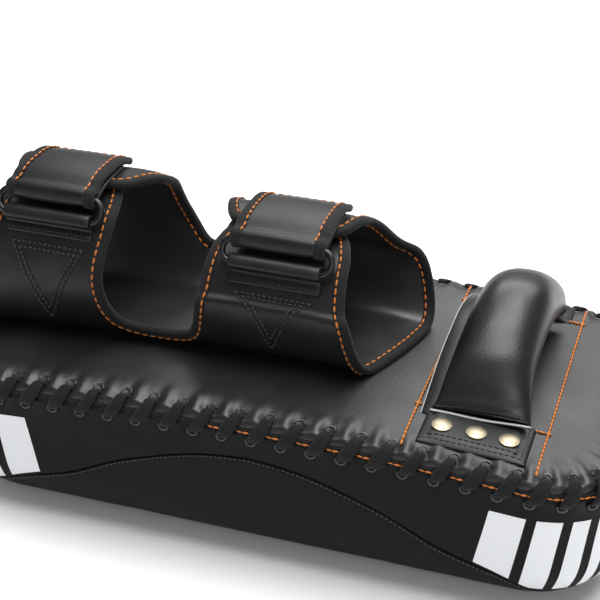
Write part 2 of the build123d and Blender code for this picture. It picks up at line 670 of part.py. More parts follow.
def build_cuff(name, centre_x, top):
    """Ring, tab, straps and hook-and-loop tapes of one cuff."""
    upper = (RING_Y, top - RING_DROP)
    lower = from_bar(upper, -RING_SPAN, 0)

    ring_plane = Plane(origin=(centre_x, (upper[0] + lower[0]) / 2, (upper[1] + lower[1]) / 2),
                       x_dir=(1, 0, 0), z_dir=(0, OUTWARD[0], OUTWARD[1]))
    with BuildPart() as ring:
        with BuildLine(ring_plane):
            half = (RING_WIDTH - RING_WIRE - RING_SPAN) / 2
            end = half + RING_SPAN / 2
            bottom = Line((-half, -RING_SPAN / 2), (half, -RING_SPAN / 2))
            turn = ThreePointArc(bottom @ 1, (end, 0), (half, RING_SPAN / 2))
            upper_bar = Line(turn @ 1, (-half, RING_SPAN / 2))
            ThreePointArc(upper_bar @ 1, (-end, 0), bottom @ 0)
        with BuildSketch(Plane(origin=bottom @ 0.5, z_dir=bottom % 0.5)):
            Circle(WIRE)
        sweep()
    finish(ring.part, f"{name}_ring")

    with BuildPart() as tab:
        with BuildSketch(Plane.YZ.offset(centre_x - STRAP_WIDTH / 2)):
            with Locations(lower):
                Circle(WIRE + GAP + TAB)
            with BuildLine():
                Spline(*[from_bar(lower, along, outward) for along, outward in TAB_ROUTE])
            trace(line_width=2 * TAB)
            with Locations(lower):
                Circle(WIRE + GAP, mode=Mode.SUBTRACT)
        extrude(amount=STRAP_WIDTH)
        add(cradle_sheet.part, mode=Mode.SUBTRACT)
    finish(tab.part, f"{name}_ring_tab")

    feed_top = top + STRAP / 2
    with BuildPart() as feed:
        with BuildSketch(Plane.YZ.offset(centre_x - STRAP_WIDTH / 2)):
            with BuildLine():
                lap = Line((LAP_END + LAP_SPARE, feed_top), (LAP_START - LAP_SPARE, feed_top))
                Spline(lap @ 1, from_bar(upper, FEED_LEAD, -FEED), from_bar(upper, -FEED_TAIL, -FEED),
                       tangents=[(-1, 0), (-ALONG[0], -ALONG[1])])
            trace(line_width=STRAP)
        extrude(amount=STRAP_WIDTH)
    finish(feed.part, f"{name}_strap_feed")

    loop_patch = tape(centre_x, top + STRAP)
    finish(loop_patch, f"{name}_loop_patch")

    hook_low = top + STRAP + PATCH_LAYER + GAP
    hook_patch = tape(centre_x, hook_low)
    finish(hook_patch, f"{name}_hook_patch")

    run = hook_low + PATCH_LAYER + STRAP / 2
    with BuildPart() as strap_end:
        with BuildSketch(Plane.YZ.offset(centre_x - STRAP_WIDTH / 2)):
            with BuildLine():
                wrap = ThreePointArc(from_bar(upper, 0, -WRAP), from_bar(upper, -WRAP, 0),
                                     from_bar(upper, 0, WRAP))
                rise = Spline(wrap @ 1, (LAP_START - LAP_SPARE, run), tangents=[wrap % 1, (1, 0)])
                flat = Line(rise @ 1, (LAP_END + LAP_SPARE, run))
                Spline(flat @ 1, (TIP, run - TIP_DROP), tangents=[(1, 0), (1, -0.5)])
            trace(line_width=STRAP)
        extrude(amount=STRAP_WIDTH)
    finish(strap_end.part, f"{name}_strap_end")


build_cuff("left", LEFT_X, LEFT_TOP)
build_cuff("right", RIGHT_X, RIGHT_TOP)

# ---------------------------------------------------------------- write the rest
finish(face_panel.part, "face_panel")
finish(side_band.part, "side_band")
finish(back_panel.part, "back_panel")
finish(seam_binding.part, "seam_binding")
finish(lace.part, "lace")
finish(face_foam.part, "face_foam")
finish(core_foam.part, "core_foam")
finish(back_foam.part, "back_foam")
finish(handle_backing.part, "handle_backing")
finish(handle_strap.part, "handle_strap")
finish(handle_foam.part, "handle_foam")
finish(handle_cover.part, "handle_cover")
finish(near_patch, "near_patch")
finish(far_patch, "far_patch")
finish(rivets(NEAR_RIVET_Y), "near_rivets")
finish(rivets(FAR_RIVET_Y), "far_rivets")
finish(rivet_washers(NEAR_RIVET_Y), "near_rivet_washers")
finish(rivet_washers(FAR_RIVET_Y), "far_rivet_washers")
finish(arm_cradle.part, "arm_cradle")
finish(cradle_binding.part, "cradle_binding")
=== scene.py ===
import math

import bpy
import numpy as np
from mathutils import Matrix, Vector


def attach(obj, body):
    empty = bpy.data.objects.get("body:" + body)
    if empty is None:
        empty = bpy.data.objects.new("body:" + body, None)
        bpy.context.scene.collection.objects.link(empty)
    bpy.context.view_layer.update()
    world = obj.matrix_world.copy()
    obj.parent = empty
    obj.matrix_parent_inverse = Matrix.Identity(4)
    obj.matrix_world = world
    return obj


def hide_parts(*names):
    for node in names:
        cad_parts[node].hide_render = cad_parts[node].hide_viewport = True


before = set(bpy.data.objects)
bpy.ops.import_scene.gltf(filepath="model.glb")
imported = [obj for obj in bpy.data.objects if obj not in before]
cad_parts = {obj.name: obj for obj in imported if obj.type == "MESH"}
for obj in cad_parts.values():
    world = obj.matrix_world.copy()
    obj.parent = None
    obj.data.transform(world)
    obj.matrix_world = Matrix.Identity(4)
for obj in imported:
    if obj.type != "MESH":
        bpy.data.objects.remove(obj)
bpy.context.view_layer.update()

bl_info = {
    "name": "Thai pad leatherwork",
    "version": (1, 0, 0),
    "blender": (4, 5, 0),
    "location": "View3D > Sidebar > Thai pad",
    "description": "Builds the leather casing, lacing, cuffs and handle of a thai pad",
    "category": "Object",
}

MM = 0.001
TURN = 2 * math.pi

# the casing, in millimetres, as the frame's solids have it
LENGTH = 440.0
WIDTH = 200.0
CROWN = 104.6               # height of the back at its middle
BACK_DROP = 10.6            # fall of the bowed back from middle to end
CORNER = 60.0               # radius of the plan's corners
FACE_EDGE = 40.0            # radius of the rolled edge round the striking face
BOW = ((LENGTH / 2) ** 2 + BACK_DROP ** 2) / (2 * BACK_DROP)   # radius of the bowed back
# wavy seam: distance from the middle, height above the floor
SEAM = [(0, 77.5), (35, 73.0), (80, 58.0), (114, 41.0), (152, 27.0), (187, 8.0), (195, 6.0), (260, 6.0)]
PERIMETER = 2 * (LENGTH - 2 * CORNER) + 2 * (WIDTH - 2 * CORNER) + TURN * CORNER
LACE_SPACING = 18.1         # wanted distance between two holes
STITCHES = round(PERIMETER / LACE_SPACING)
PITCH = PERIMETER / STITCHES
SLANT = 9.0                 # sideways run of one lace band
HOLE_INSET = 8.5            # holes in the back, inboard of the side
HOLE_DROP = 14.0            # holes in the side band, below the back
COLUMNS = 12                # mesh columns for each lace stitch

CUFFS = {"left": {"x": -148.5, "top": 194.2}, "right": {"x": -3.0, "top": 184.0}}
RING_TILT = math.radians(56.5)
RING_SPAN = 14.5            # between the two long bars of a ring
STRAP_WIDTH = 57.0
HANDLE_X = 128.5
PANEL = (90.0, 167.0)       # reinforced strip across the back, in X
PATCH_HALF = 31.5
# sections of the roll: Y, sideways shift, height above the back, half width, half height, tilt
ROLL = [(-56.0, -1.0, 4.5, 29.5, 4.2, 30.0), (-50.0, 0.0, 9.0, 27.5, 7.5, 38.0),
        (-25.9, 0.0, 23.5, 24.5, 17.0, 30.0), (15.1, 3.0, 35.0, 23.5, 22.0, 0.0),
        (52.5, 5.0, 24.0, 23.0, 17.0, -34.0), (70.5, 5.0, 9.0, 23.0, 8.0, -50.0)]
NEAR_PATCH = (-87.0, -51.0)  # range in Y
FAR_PATCH = (70.0, 90.0)
PATCH_LIFT = 4.4            # top of the patches above the back, over the strap
PATCH_EDGE_LIFT = 2.4       # and beside it
# thread: pitch, length and radius of one stitch
DECOR = (5.2, 4.1, 0.65)
TAB_SEAM = (3.4, 2.7, 0.75)


# ---------------- small helpers
def smooth(a, b, x):
    """Smooth step from 0 at a to 1 at b."""
    t = np.clip((np.asarray(x, float) - a) / (b - a), 0, 1)
    return t * t * (3 - 2 * t)


def unit(v):
    """Vectors of length one, along the last axis."""
    v = np.asarray(v, float)
    return v / np.maximum(np.linalg.norm(v, axis=-1, keepdims=True), 1e-9)


def bend(a, b, c, d, t):
    """Catmull-Rom curve from b to c."""
    return 0.5 * (2 * b + (c - a) * t + (2 * a - 5 * b + 4 * c - d) * t ** 2
                  + (3 * b - a - 3 * c + d) * t ** 3)


def catmull(points, steps, closed=False):
    """Smooth line through the points, with a number of steps for each span."""
    p = np.asarray(points, float)
    count = len(p)
    spans = count if closed else count - 1
    t = np.arange(steps)[:, None] / steps
    rows = []
    for i in range(spans):
        near = [i + k for k in (-1, 0, 1, 2)]
        a, b, c, d = (p[k % count if closed else min(max(k, 0), count - 1)] for k in near)
        rows.append(bend(a, b, c, d, t))
    if not closed:
        rows.append(p[-1:])
    return np.vstack(rows)


def resample(points, spacing, closed=False):
    """The same line with evenly spaced points."""
    p = np.asarray(points, float)
    if closed:
        p = np.vstack([p, p[:1]])
    d = np.concatenate([[0], np.cumsum(np.linalg.norm(np.diff(p, axis=0), axis=1))])
    n = max(2, int(round(d[-1] / spacing)) + 1)
    at = np.linspace(0, d[-1], n)
    out = np.column_stack([np.interp(at, d, p[:, k]) for k in range(p.shape[1])])
    return out[:-1] if closed else out


def piece(name, verts, faces, slot, material, body="root", shade=True):
    """A new mesh object, from vertices in millimetres, riding on a body."""
    mesh = bpy.data.meshes.new(name)
    mesh.from_pydata((np.asarray(verts) * MM).tolist(), [], [list(map(int, f)) for f in faces])
    mesh.update()
    mesh.polygons.foreach_set("use_smooth", [shade] * len(mesh.polygons))
    made = bpy.data.objects.new(name, mesh)
    bpy.context.scene.collection.objects.link(made)
    mesh.materials.append(material)
    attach(made, body)
    return made


def grid_faces(rows, columns, wrap=False, offset=0, flip=False):
    """Quads of a grid of rows by columns; wrap joins the last column to the first."""
    last = columns if wrap else columns - 1
    faces = []
    for r in range(rows - 1):
        for c in range(last):
            d = (c + 1) % columns
            quad = (offset + r * columns + c, offset + r * columns + d,
                    offset + (r + 1) * columns + d, offset + (r + 1) * columns + c)
            faces.append(quad[::-1] if flip else quad)
    return faces


def sweep(line, across, up, profile, closed=False):
    """Vertices and faces of a closed profile carried along a line.

    profile holds one array of (across, up) offsets, or one such array for each point.
    """
    n = len(line)
    prof = np.broadcast_to(np.asarray(profile, float), (n,) + np.asarray(profile).shape[-2:])
    verts = line[:, None] + across[:, None] * prof[..., :1] + up[:, None] * prof[..., 1:]
    m = prof.shape[1]
    faces = grid_faces(n, m, wrap=True)
    if closed:
        faces += [((n - 1) * m + c, (n - 1) * m + (c + 1) % m, (c + 1) % m, c) for c in range(m)]
    else:
        faces += [tuple(range(m))[::-1], tuple((n - 1) * m + c for c in range(m))]
    return verts.reshape(-1, 3), faces


def select_only(obj):
    """Make one object active and selected."""
    bpy.ops.object.select_all(action="DESELECT")
    bpy.context.view_layer.objects.active = obj
    obj.select_set(True)


def outward(obj):
    """Turn a closed piece's faces outwards."""
    select_only(obj)
    bpy.ops.object.mode_set(mode="EDIT")
    bpy.ops.mesh.select_all(action="SELECT")
    bpy.ops.mesh.remove_doubles(threshold=1e-6)
    bpy.ops.mesh.normals_make_consistent(inside=False)
    bpy.ops.object.mode_set(mode="OBJECT")
    obj.select_set(False)


def finish_modifier(obj, kind, **settings):
    """Add one modifier and apply it."""
    select_only(obj)
    modifier = obj.modifiers.new(kind.title(), kind)
    for key, value in settings.items():
        setattr(modifier, key, value)
    bpy.ops.object.modifier_apply(modifier=modifier.name)
    obj.select_set(False)


def merge(parts):
    """Join several vertex and face lists into one."""
    verts, faces, start = [], [], 0
    for v, f in parts:
        verts.append(np.asarray(v))
        faces += [tuple(i + start for i in q) for q in f]
        start += len(v)
    return np.vstack(verts), faces


# ---------------- materials
def linear(hex_colour):
    """sRGB hex to the linear colour that a shader takes."""
    parts = [int(hex_colour[i:i + 2], 16) / 255 for i in (1, 3, 5)]
    return [c / 12.92 if c <= 0.04045 else ((c + 0.055) / 1.055) ** 2.4 for c in parts] + [1.0]


def add_node(tree, kind, settings=None, inputs=None, links=None):
    """Add one node with its settings, input values and incoming links."""
    made = tree.nodes.new(kind)
    for key, value in (settings or {}).items():
        setattr(made, key, value)
    for key, value in (inputs or {}).items():
        made.inputs[key].default_value = value
    for key, source in (links or {}).items():
        tree.links.new(source, made.inputs[key])
    return made


def base_material(name, colour, roughness, metallic=0.0, specular=0.5):
    """A named material with its Principled shader."""
    material = bpy.data.materials.new(name)
    material.use_nodes = True
    shader = material.node_tree.nodes["Principled BSDF"]
    shader.inputs["Base Color"].default_value = linear(colour)
    shader.inputs["Roughness"].default_value = roughness
    shader.inputs["Metallic"].default_value = metallic
    if metallic < 0.5:
        shader.inputs["Specular IOR Level"].default_value = specular
    return material, material.node_tree, shader


def texture_place(tree):
    """Object coordinates, on which every texture is laid."""
    return add_node(tree, "ShaderNodeTexCoord").outputs["Object"]


def noise(tree, place, scale, **inputs):
    """Noise texture of a scale."""
    return add_node(tree, "ShaderNodeTexNoise", None, {"Scale": scale, **inputs}, {"Vector": place})


def blend_colour(tree, low, high, factor, shader):
    """Base colour that changes from low to high with a texture."""
    mix = add_node(tree, "ShaderNodeMix", {"data_type": "RGBA"}, {6: linear(low), 7: linear(high)},
                   {0: factor})
    tree.links.new(mix.outputs[2], shader.inputs["Base Color"])


def emboss(tree, strength, depth_mm, height, shader):
    """Fine relief from a texture."""
    bump = add_node(tree, "ShaderNodeBump", None, {"Strength": strength, "Distance": depth_mm * MM},
                    {"Height": height})
    tree.links.new(bump.outputs["Normal"], shader.inputs["Normal"])


def leather(name, colour, light, roughness, grain_mm, depth_mm, specular=0.5):
    """Embossed synthetic leather: polyurethane skin pressed with a pebble grain, so it has a
    soft broad shine broken by small pores."""
    material, tree, shader = base_material(name, colour, roughness, specular=specular)
    place = texture_place(tree)
    pebble = add_node(tree, "ShaderNodeTexVoronoi", {"feature": "SMOOTH_F1"},
                      {"Scale": 1 / (grain_mm * MM), "Smoothness": 0.6}, {"Vector": place})
    crease = noise(tree, place, 1 / (9 * grain_mm * MM), Detail=6.0, Roughness=0.6)
    patches = noise(tree, place, 28.0, Detail=3.0)
    height = add_node(tree, "ShaderNodeMath", {"operation": "MULTIPLY_ADD"}, {1: 0.8},
                      {0: crease.outputs["Fac"], 2: pebble.outputs["Distance"]})
    emboss(tree, 1.0, depth_mm, height.outputs[0], shader)
    blend_colour(tree, colour, light, patches.outputs["Fac"], shader)
    worn = add_node(tree, "ShaderNodeMapRange", None,
                    {1: 0.3, 2: 0.7, 3: roughness - 0.05, 4: roughness + 0.07}, {0: patches.outputs["Fac"]})
    tree.links.new(worn.outputs[0], shader.inputs["Roughness"])
    return material


def woven(name, colour, light, thread_mm, roughness):
    """Woven polyester tape: fine crossing threads, dull, with a faint fibre sheen."""
    material, tree, shader = base_material(name, colour, roughness, specular=0.25)
    shader.inputs["Sheen Weight"].default_value = 0.06
    shader.inputs["Sheen Roughness"].default_value = 0.5
    place = texture_place(tree)
    cells = add_node(tree, "ShaderNodeTexVoronoi", {"feature": "F1"}, {"Scale": 1 / (thread_mm * MM)},
                     {"Vector": place})
    fibres = noise(tree, place, 0.6 / (thread_mm * MM), Detail=4.0)
    blend_colour(tree, colour, light, fibres.outputs["Fac"], shader)
    emboss(tree, 0.9, 0.35, cells.outputs["Distance"], shader)
    return material


def thread_material(name, colour, dark):
    """Bonded nylon sewing thread: twisted plies with a waxy half shine."""
    material, tree, shader = base_material(name, colour, 0.5)
    ply = noise(tree, texture_place(tree), 1 / (0.9 * MM), Detail=2.0)
    blend_colour(tree, dark, colour, ply.outputs["Fac"], shader)
    return material


def metal(name, colour, roughness):
    """Nickel-plated cap or dark lacquered wire, with faint handling marks."""
    material, tree, shader = base_material(name, colour, roughness, metallic=1.0)
    marks = noise(tree, texture_place(tree), 1 / (3 * MM), Detail=5.0)
    span = add_node(tree, "ShaderNodeMapRange", None, {3: roughness - 0.06, 4: roughness + 0.1},
                    {0: marks.outputs["Fac"]})
    emboss(tree, 0.3, 0.15, marks.outputs["Fac"], shader)
    tree.links.new(span.outputs[0], shader.inputs["Roughness"])
    return material


def plain(name, colour, roughness, grain_mm=1.0):
    """Foam, printing ink or floor paper: one even colour with a very fine grain."""
    material, tree, shader = base_material(name, colour, roughness)
    speck = noise(tree, texture_place(tree), 1 / (grain_mm * MM))
    emboss(tree, 0.2, 0.1, speck.outputs["Fac"], shader)
    return material


MATERIALS = {}


def make_materials(colours):
    """Every finish of the pad."""
    MATERIALS.update(
        back=leather("Embossed PU leather, back", colours.back_leather, "#1d1c1c", 0.42, 1.7, 0.06, 0.5),
        side=leather("Matt PU leather, side band", colours.side_leather, "#101011", 0.55, 1.7, 0.06, 0.12),
        cuff=leather("Smooth PU leather, cuffs", colours.cuff_leather, "#161617", 0.41, 1.3, 0.05, 0.34),
        grip=leather("Glossy PU leather, handle", colours.cuff_leather, "#101012", 0.37, 1.5, 0.06, 0.5),
        # inner face of the cradle: smoother leather, and its lighter colour is painted light for the lit
        # inside of the cuffs
        lining=leather("Cuff lining lightened as painted light", "#1f1f20", "#2a2a2b", 0.34, 1.3, 0.03, 0.55),
        lip=leather("Turned leather edge", "#161617", "#202022", 0.22, 1.2, 0.04, 0.6),
        tape=woven("Woven polyester edge tape", "#0a0a0b", "#19191a", 0.9, 0.8),
        lace=woven("Flat braided polyester lace", "#060607", "#131314", 0.8, 0.8),
        orange=thread_material("Orange bonded nylon thread", colours.thread, "#8f4a12"),
        black=thread_material("Black bonded nylon thread", "#2e2e33", "#141417"),
        grey=thread_material("Grey bonded nylon thread", "#55555a", "#2c2c2e"),
        raw=leather("Cut leather edge", "#8f8f8f", "#b0b0b0", 0.5, 1.0, 0.08),
        nickel=metal("Nickel-plated brass cap", "#a89d86", 0.44),
        gunmetal=metal("Gunmetal-lacquered steel wire", "#3a3a3c", 0.35),
        foam=plain("Closed-cell foam", "#9a9a98", 0.9),
        print=plain("White screen-print ink", colours.print_ink, 0.5),
    )


# ---------------- casing geometry
def back_height(x):
    """Height of the bowed back at X, in millimetres."""
    return CROWN - BOW + np.sqrt(BOW ** 2 - np.asarray(x, float) ** 2)


def outline(s):
    """Points, outward normals and tangents of the pad's outline at distances s round it."""
    s = np.asarray(s, float) % PERIMETER
    half_l, half_w = LENGTH / 2 - CORNER, WIDTH / 2 - CORNER
    quarter = math.pi * CORNER / 2
    runs = [(2 * half_l, half_l, -half_w), (quarter, half_l, -half_w), (2 * half_w, half_l, half_w),
            (quarter, half_l, half_w), (2 * half_l, -half_l, half_w), (quarter, -half_l, half_w),
            (2 * half_w, -half_l, -half_w), (quarter, -half_l, -half_w)]
    centre = np.zeros(s.shape + (2,))
    turn = np.zeros(s.shape)
    back = np.zeros(s.shape)
    start = 0.0
    for index, (run, cx, cy) in enumerate(runs):
        here = (s >= start) & (s <= start + run)
        centre[here] = (cx, cy)
        base = math.radians(-90 + 90 * (index // 2))
        if index % 2 == 0:
            turn[here] = base
            back[here] = run - (s[here] - start)
        else:
            turn[here] = base + (s[here] - start) / CORNER
            back[here] = 0.0
        start += run
    normal = np.stack([np.cos(turn), np.sin(turn)], -1)
    tangent = np.stack([-np.sin(turn), np.cos(turn)], -1)
    point = centre + normal * CORNER - tangent * back[..., None]
    return point, normal, tangent


def edge_point(s, out, drop):
    """Point beside the top edge: out from the side and drop below the back, in millimetres."""
    point, normal, _ = outline(s)
    place = point + normal * np.asarray(out)[..., None]
    z = back_height(np.clip(place[..., 0], -LENGTH / 2, LENGTH / 2)) - drop
    return np.concatenate([place, np.asarray(z)[..., None]], -1)


def seam_height(x):
    """Height of the wavy seam at X."""
    knots = np.array(SEAM)
    line = catmull(knots, 12)
    return np.interp(np.abs(x), line[:, 0], line[:, 1])


def bow_unevenness(x, y):
    """Slow unevenness of stretched leather, under a millimetre."""
    return 0.45 * np.sin(x / 31.0 + 1.3) * np.sin(y / 23.0 + 0.4) + 0.3 * np.sin(x / 17.0 - y / 29.0)


def hole_wave(s, shift=0.0):
    """1 at each lace hole and -1 midway between two, at distances s."""
    return np.cos(TURN * (s - 0.5 * PITCH - shift) / PITCH)


def build_casing(thickness):
    """Back panel, tape, side band and face panel as separate skins over one padded form."""
    count = STITCHES * COLUMNS
    s = np.arange(count) * PERIMETER / count
    point, normal, _ = outline(s)
    wave = hole_wave(s)
    low_wave = hole_wave(s, -SLANT)
    ripple = 1.7 * np.sin(s / 41.0)

    # back panel, from the middle out to its turned edge
    rows = []
    inner = point - normal * 26
    for scale in [0.02, 0.15, 0.3, 0.45, 0.6, 0.72, 0.82, 0.9, 0.96]:
        place = inner * scale
        lift = bow_unevenness(place[:, 0], place[:, 1]) + 0.9 * scale
        rows.append(np.column_stack([place, back_height(place[:, 0]) + lift]))
    for inset in [26, 23, 20.5, 18, 16, 14.3, 12.8, 11.5, 10.3, 9.2, 8.2, 7.2, 6.2, 5.2, 4.2, 3.3, 2.6]:
        place = point - normal * inset
        shoulder = 0.9 - 0.052 * max(0.0, 17.0 - inset) ** 1.62
        gather = math.exp(-((inset - 8.0) / 9.0) ** 2) if inset > 8 else 1.0
        puff = 1.15 * gather * (0.25 - 0.75 * wave) + 0.35 * gather * np.cos(2 * TURN * (s / PITCH) + ripple)
        dip = -0.8 * (wave + 1) * math.exp(-((inset - 7.0) / 2.4) ** 2)
        rows.append(np.column_stack([place, back_height(place[:, 0]) + shoulder + puff + dip
                                     + bow_unevenness(place[:, 0], place[:, 1]) * min(1.0, inset / 20)]))
    for out, drop in [(-2.0, 6.4), (-1.8, 7.4), (-2.6, 8.0), (-4.6, 8.2)]:
        rows.append(edge_point(s, np.full(count, out), drop - 0.7 * (0.5 - 0.5 * wave)))
    verts = np.vstack(rows)
    faces = grid_faces(len(rows), count, wrap=True, flip=True)
    faces += [(len(verts), c, (c + 1) % count) for c in range(count)]
    verts = np.vstack([verts, [[0.0, 0.0, CROWN]]])
    back = piece("back_leather", verts, faces, "pad_leather", MATERIALS["back"])

    # woven tape that binds both leather edges inside the lacing
    rows = []
    for out, drop in [(-4.5, 5.6), (-2.6, 6.0), (-1.3, 7.0), (-0.6, 8.2), (-0.3, 9.4), (-0.6, 10.8),
                      (-2.5, 11.4)]:
        rows.append(edge_point(s, np.full(count, out) + 0.35 * wave, drop))
    tape = piece("edge_tape", np.vstack(rows), grid_faces(len(rows), count, wrap=True, flip=True),
                 "binding_tape", MATERIALS["tape"])

    # side band, from its turned upper edge down to the wavy seam
    x = point[:, 0]
    top = back_height(x)
    seam = seam_height(x)
    rows = []
    for out, drop in [(-4.0, 10.6), (-1.6, 9.7), (0.3, 9.6), (1.0, 10.4)]:
        rows.append(edge_point(s, np.full(count, out) - 0.3 * low_wave, drop + 0.5 * low_wave))
    start = top - 11.4
    levels = [0, 0.035, 0.075, 0.12, 0.18, 0.26, 0.36, 0.48, 0.6, 0.72, 0.82, 0.9, 0.95, 0.98, 1.0]
    for t in levels:
        z = start + (seam - start) * t
        bulge = 0.9 * np.exp(-((top - z - 12.5) / 5.0) ** 2) * (0.6 - 0.5 * low_wave)
        bulge -= 0.9 * np.exp(-((top - z - HOLE_DROP) / 2.5) ** 2) * (0.5 + 0.5 * low_wave)
        bulge += 0.35 * np.sin(x / 27 + 0.8) * np.sin(z / 14) - 0.9 * max(0.0, t - 0.97) / 0.03
        rows.append(side_point(point, normal, z, bulge))
    side = piece("side_leather", np.vstack(rows), grid_faces(len(rows), count, wrap=True, flip=True),
                 "pad_leather", MATERIALS["side"])

    # face panel, from the seam round the lower edge to the middle of the striking face
    rows = []
    depth = np.where(seam >= FACE_EDGE, FACE_EDGE - seam, FACE_EDGE * np.arcsin(
        np.clip((FACE_EDGE - seam) / FACE_EDGE, 0, 1)))
    end = FACE_EDGE * math.pi / 2
    for t in [0, 0.02, 0.05, 0.12, 0.22, 0.34, 0.46, 0.58, 0.7, 0.8, 0.88, 0.94, 1.0]:
        q = depth + (end - depth) * t
        angle = np.clip(q / FACE_EDGE, 0, math.pi / 2)
        z = np.where(q < 0, FACE_EDGE - q, FACE_EDGE * (1 - np.sin(angle)))
        inset = np.where(q < 0, 0.0, FACE_EDGE * (1 - np.cos(angle)))
        sink = -0.9 * max(0.0, 0.02 - t) / 0.02
        place = point - normal * (inset - sink)[:, None]
        rows.append(np.column_stack([place, z]))
    ring = point - normal * FACE_EDGE
    for scale in [0.92, 0.75, 0.5, 0.25, 0.02]:
        rows.append(np.column_stack([ring * scale, np.zeros(count)]))
    verts = np.vstack(rows + [[[0.0, 0.0, 0.0]]])
    last = (len(rows) - 1) * count
    faces = grid_faces(len(rows), count, wrap=True, flip=True)
    faces += [(len(verts) - 1, last + (c + 1) % count, last + c) for c in range(count)]
    face = piece("face_leather", verts, faces, "pad_leather", MATERIALS["side"])
    for skin in (back, side, face):
        finish_modifier(skin, "SOLIDIFY", thickness=thickness, offset=-1.0)
    finish_modifier(tape, "SOLIDIFY", thickness=0.9 * MM, offset=-1.0)
    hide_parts("back_panel")
    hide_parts("seam_binding")
    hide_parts("side_band")
    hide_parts("face_panel")

    # grey thread just under the wavy seam
    line = []
    x_line = np.linspace(-186, 186, 500)
    for side_sign in (-1, 1):
        z = seam_height(x_line) - 1.6
        angle = np.arcsin(np.clip((FACE_EDGE - z) / FACE_EDGE, 0, 1))
        inset = FACE_EDGE * (1 - np.cos(angle))
        at_corner = np.clip(np.abs(x_line) - (LENGTH / 2 - CORNER), 0, CORNER)
        edge = WIDTH / 2 - CORNER + np.sqrt(np.maximum((CORNER - inset) ** 2 - at_corner ** 2, 0))
        line.append(np.column_stack([x_line, side_sign * (edge + 0.1), z]))
    parts = [stitch_row(run, facing(run), 3.0, 2.1, 0.33) for run in line]
    piece("seam_thread", *merge(parts), "pad_leather", MATERIALS["grey"])


def facing(run):
    """Outward normals for a thread line along a long side of the pad."""
    out = np.zeros_like(run)
    out[:, 1] = np.sign(run[:, 1])
    return out


def side_point(point, normal, z, bulge):
    """Point on the pad's side at a height, following the rolled lower edge."""
    angle = np.arcsin(np.clip((FACE_EDGE - z) / FACE_EDGE, 0, 1))
    inset = np.where(z < FACE_EDGE, FACE_EDGE * (1 - np.cos(angle)), 0.0)
    place = point - normal * (inset - bulge)[:, None]
    return np.column_stack([place, z])


# ---------------- thread
def stitch_template():
    """One stitch: a small sphere primitive as vertices and faces, one unit long."""
    bpy.ops.object.select_all(action="DESELECT")
    bpy.ops.mesh.primitive_uv_sphere_add(segments=6, ring_count=5, radius=0.5, rotation=(0, math.pi / 2, 0))
    ball = bpy.context.object
    bpy.ops.object.transform_apply(location=False, rotation=True, scale=False)
    verts = np.array([v.co[:] for v in ball.data.vertices])
    # the primitive's faces come in a varying order, and sorting makes each run the same
    faces = sorted(tuple(p.vertices) for p in ball.data.polygons)
    bpy.data.objects.remove(ball, do_unlink=True)
    return verts, faces


STITCH = stitch_template()


def stitch_row(run, normals, pitch, length, radius):
    """Evenly spaced stitches lying along a line, each one slightly arched."""
    both = resample(np.hstack([run, normals]), pitch)
    line, up = both[:, :3], unit(both[:, 3:])
    ahead = unit(np.gradient(line, axis=0))
    up = unit(up - ahead * np.sum(up * ahead, axis=1, keepdims=True))
    side = np.cross(up, ahead)
    base, faces = STITCH
    parts = []
    for i in range(len(line)):
        verts = (line[i] + ahead[i] * (base[:, :1] * length) + side[i] * (base[:, 1:2] * radius * 2.2)
                 + up[i] * (base[:, 2:] * radius * 2))
        parts.append((verts, faces))
    return merge(parts)


# ---------------- lacing
def lace_route(widest):
    """Points of the whole lace: over the edge, in at the side hole, up to the next top hole."""
    rng = np.random.default_rng(7)
    loop = [(0.0, -6.6, 7.6, 3.8, 2.4), (0.0, -7.0, 4.2, 4.2, 2.2), (0.03, -6.2, 1.5, 5.6, 2.0),
            (0.10, -4.2, 1.3, 7.0, 2.0), (0.22, -1.3, 3.2, 7.8, 2.1), (0.42, 0.9, 6.2, 8.0, 2.3),
            (0.62, 1.9, 8.9, 7.8, 2.3), (0.82, 1.9, 11.2, 6.8, 2.1), (0.95, 1.2, 13.2, 5.4, 2.2),
            (1.0, -1.0, 14.4, 4.2, 2.4), (1.1, -4.2, 14.0, 4.6, 2.0), (1.5, -5.6, 10.8, 5.0, 1.8)]
    points, tangents, widths = [], [], []
    for index in reversed(range(STITCHES)):
        top = (index + 0.5) * PITCH
        lean = rng.normal(0, 0.6)
        full = widest / 8.0 * (1 + rng.normal(0, 0.05))
        for share, out, drop, wide, thick in loop:
            s = top - SLANT * share + lean * math.sin(math.pi * min(share, 1.0))
            points.append(edge_point(np.array([s]), np.array([out]), drop)[0])
            tangents.append(np.append(outline(np.array([s]))[2][0], 0.0))
            widths.append((wide * full, thick))
    return np.array(points), np.array(tangents), np.array(widths)


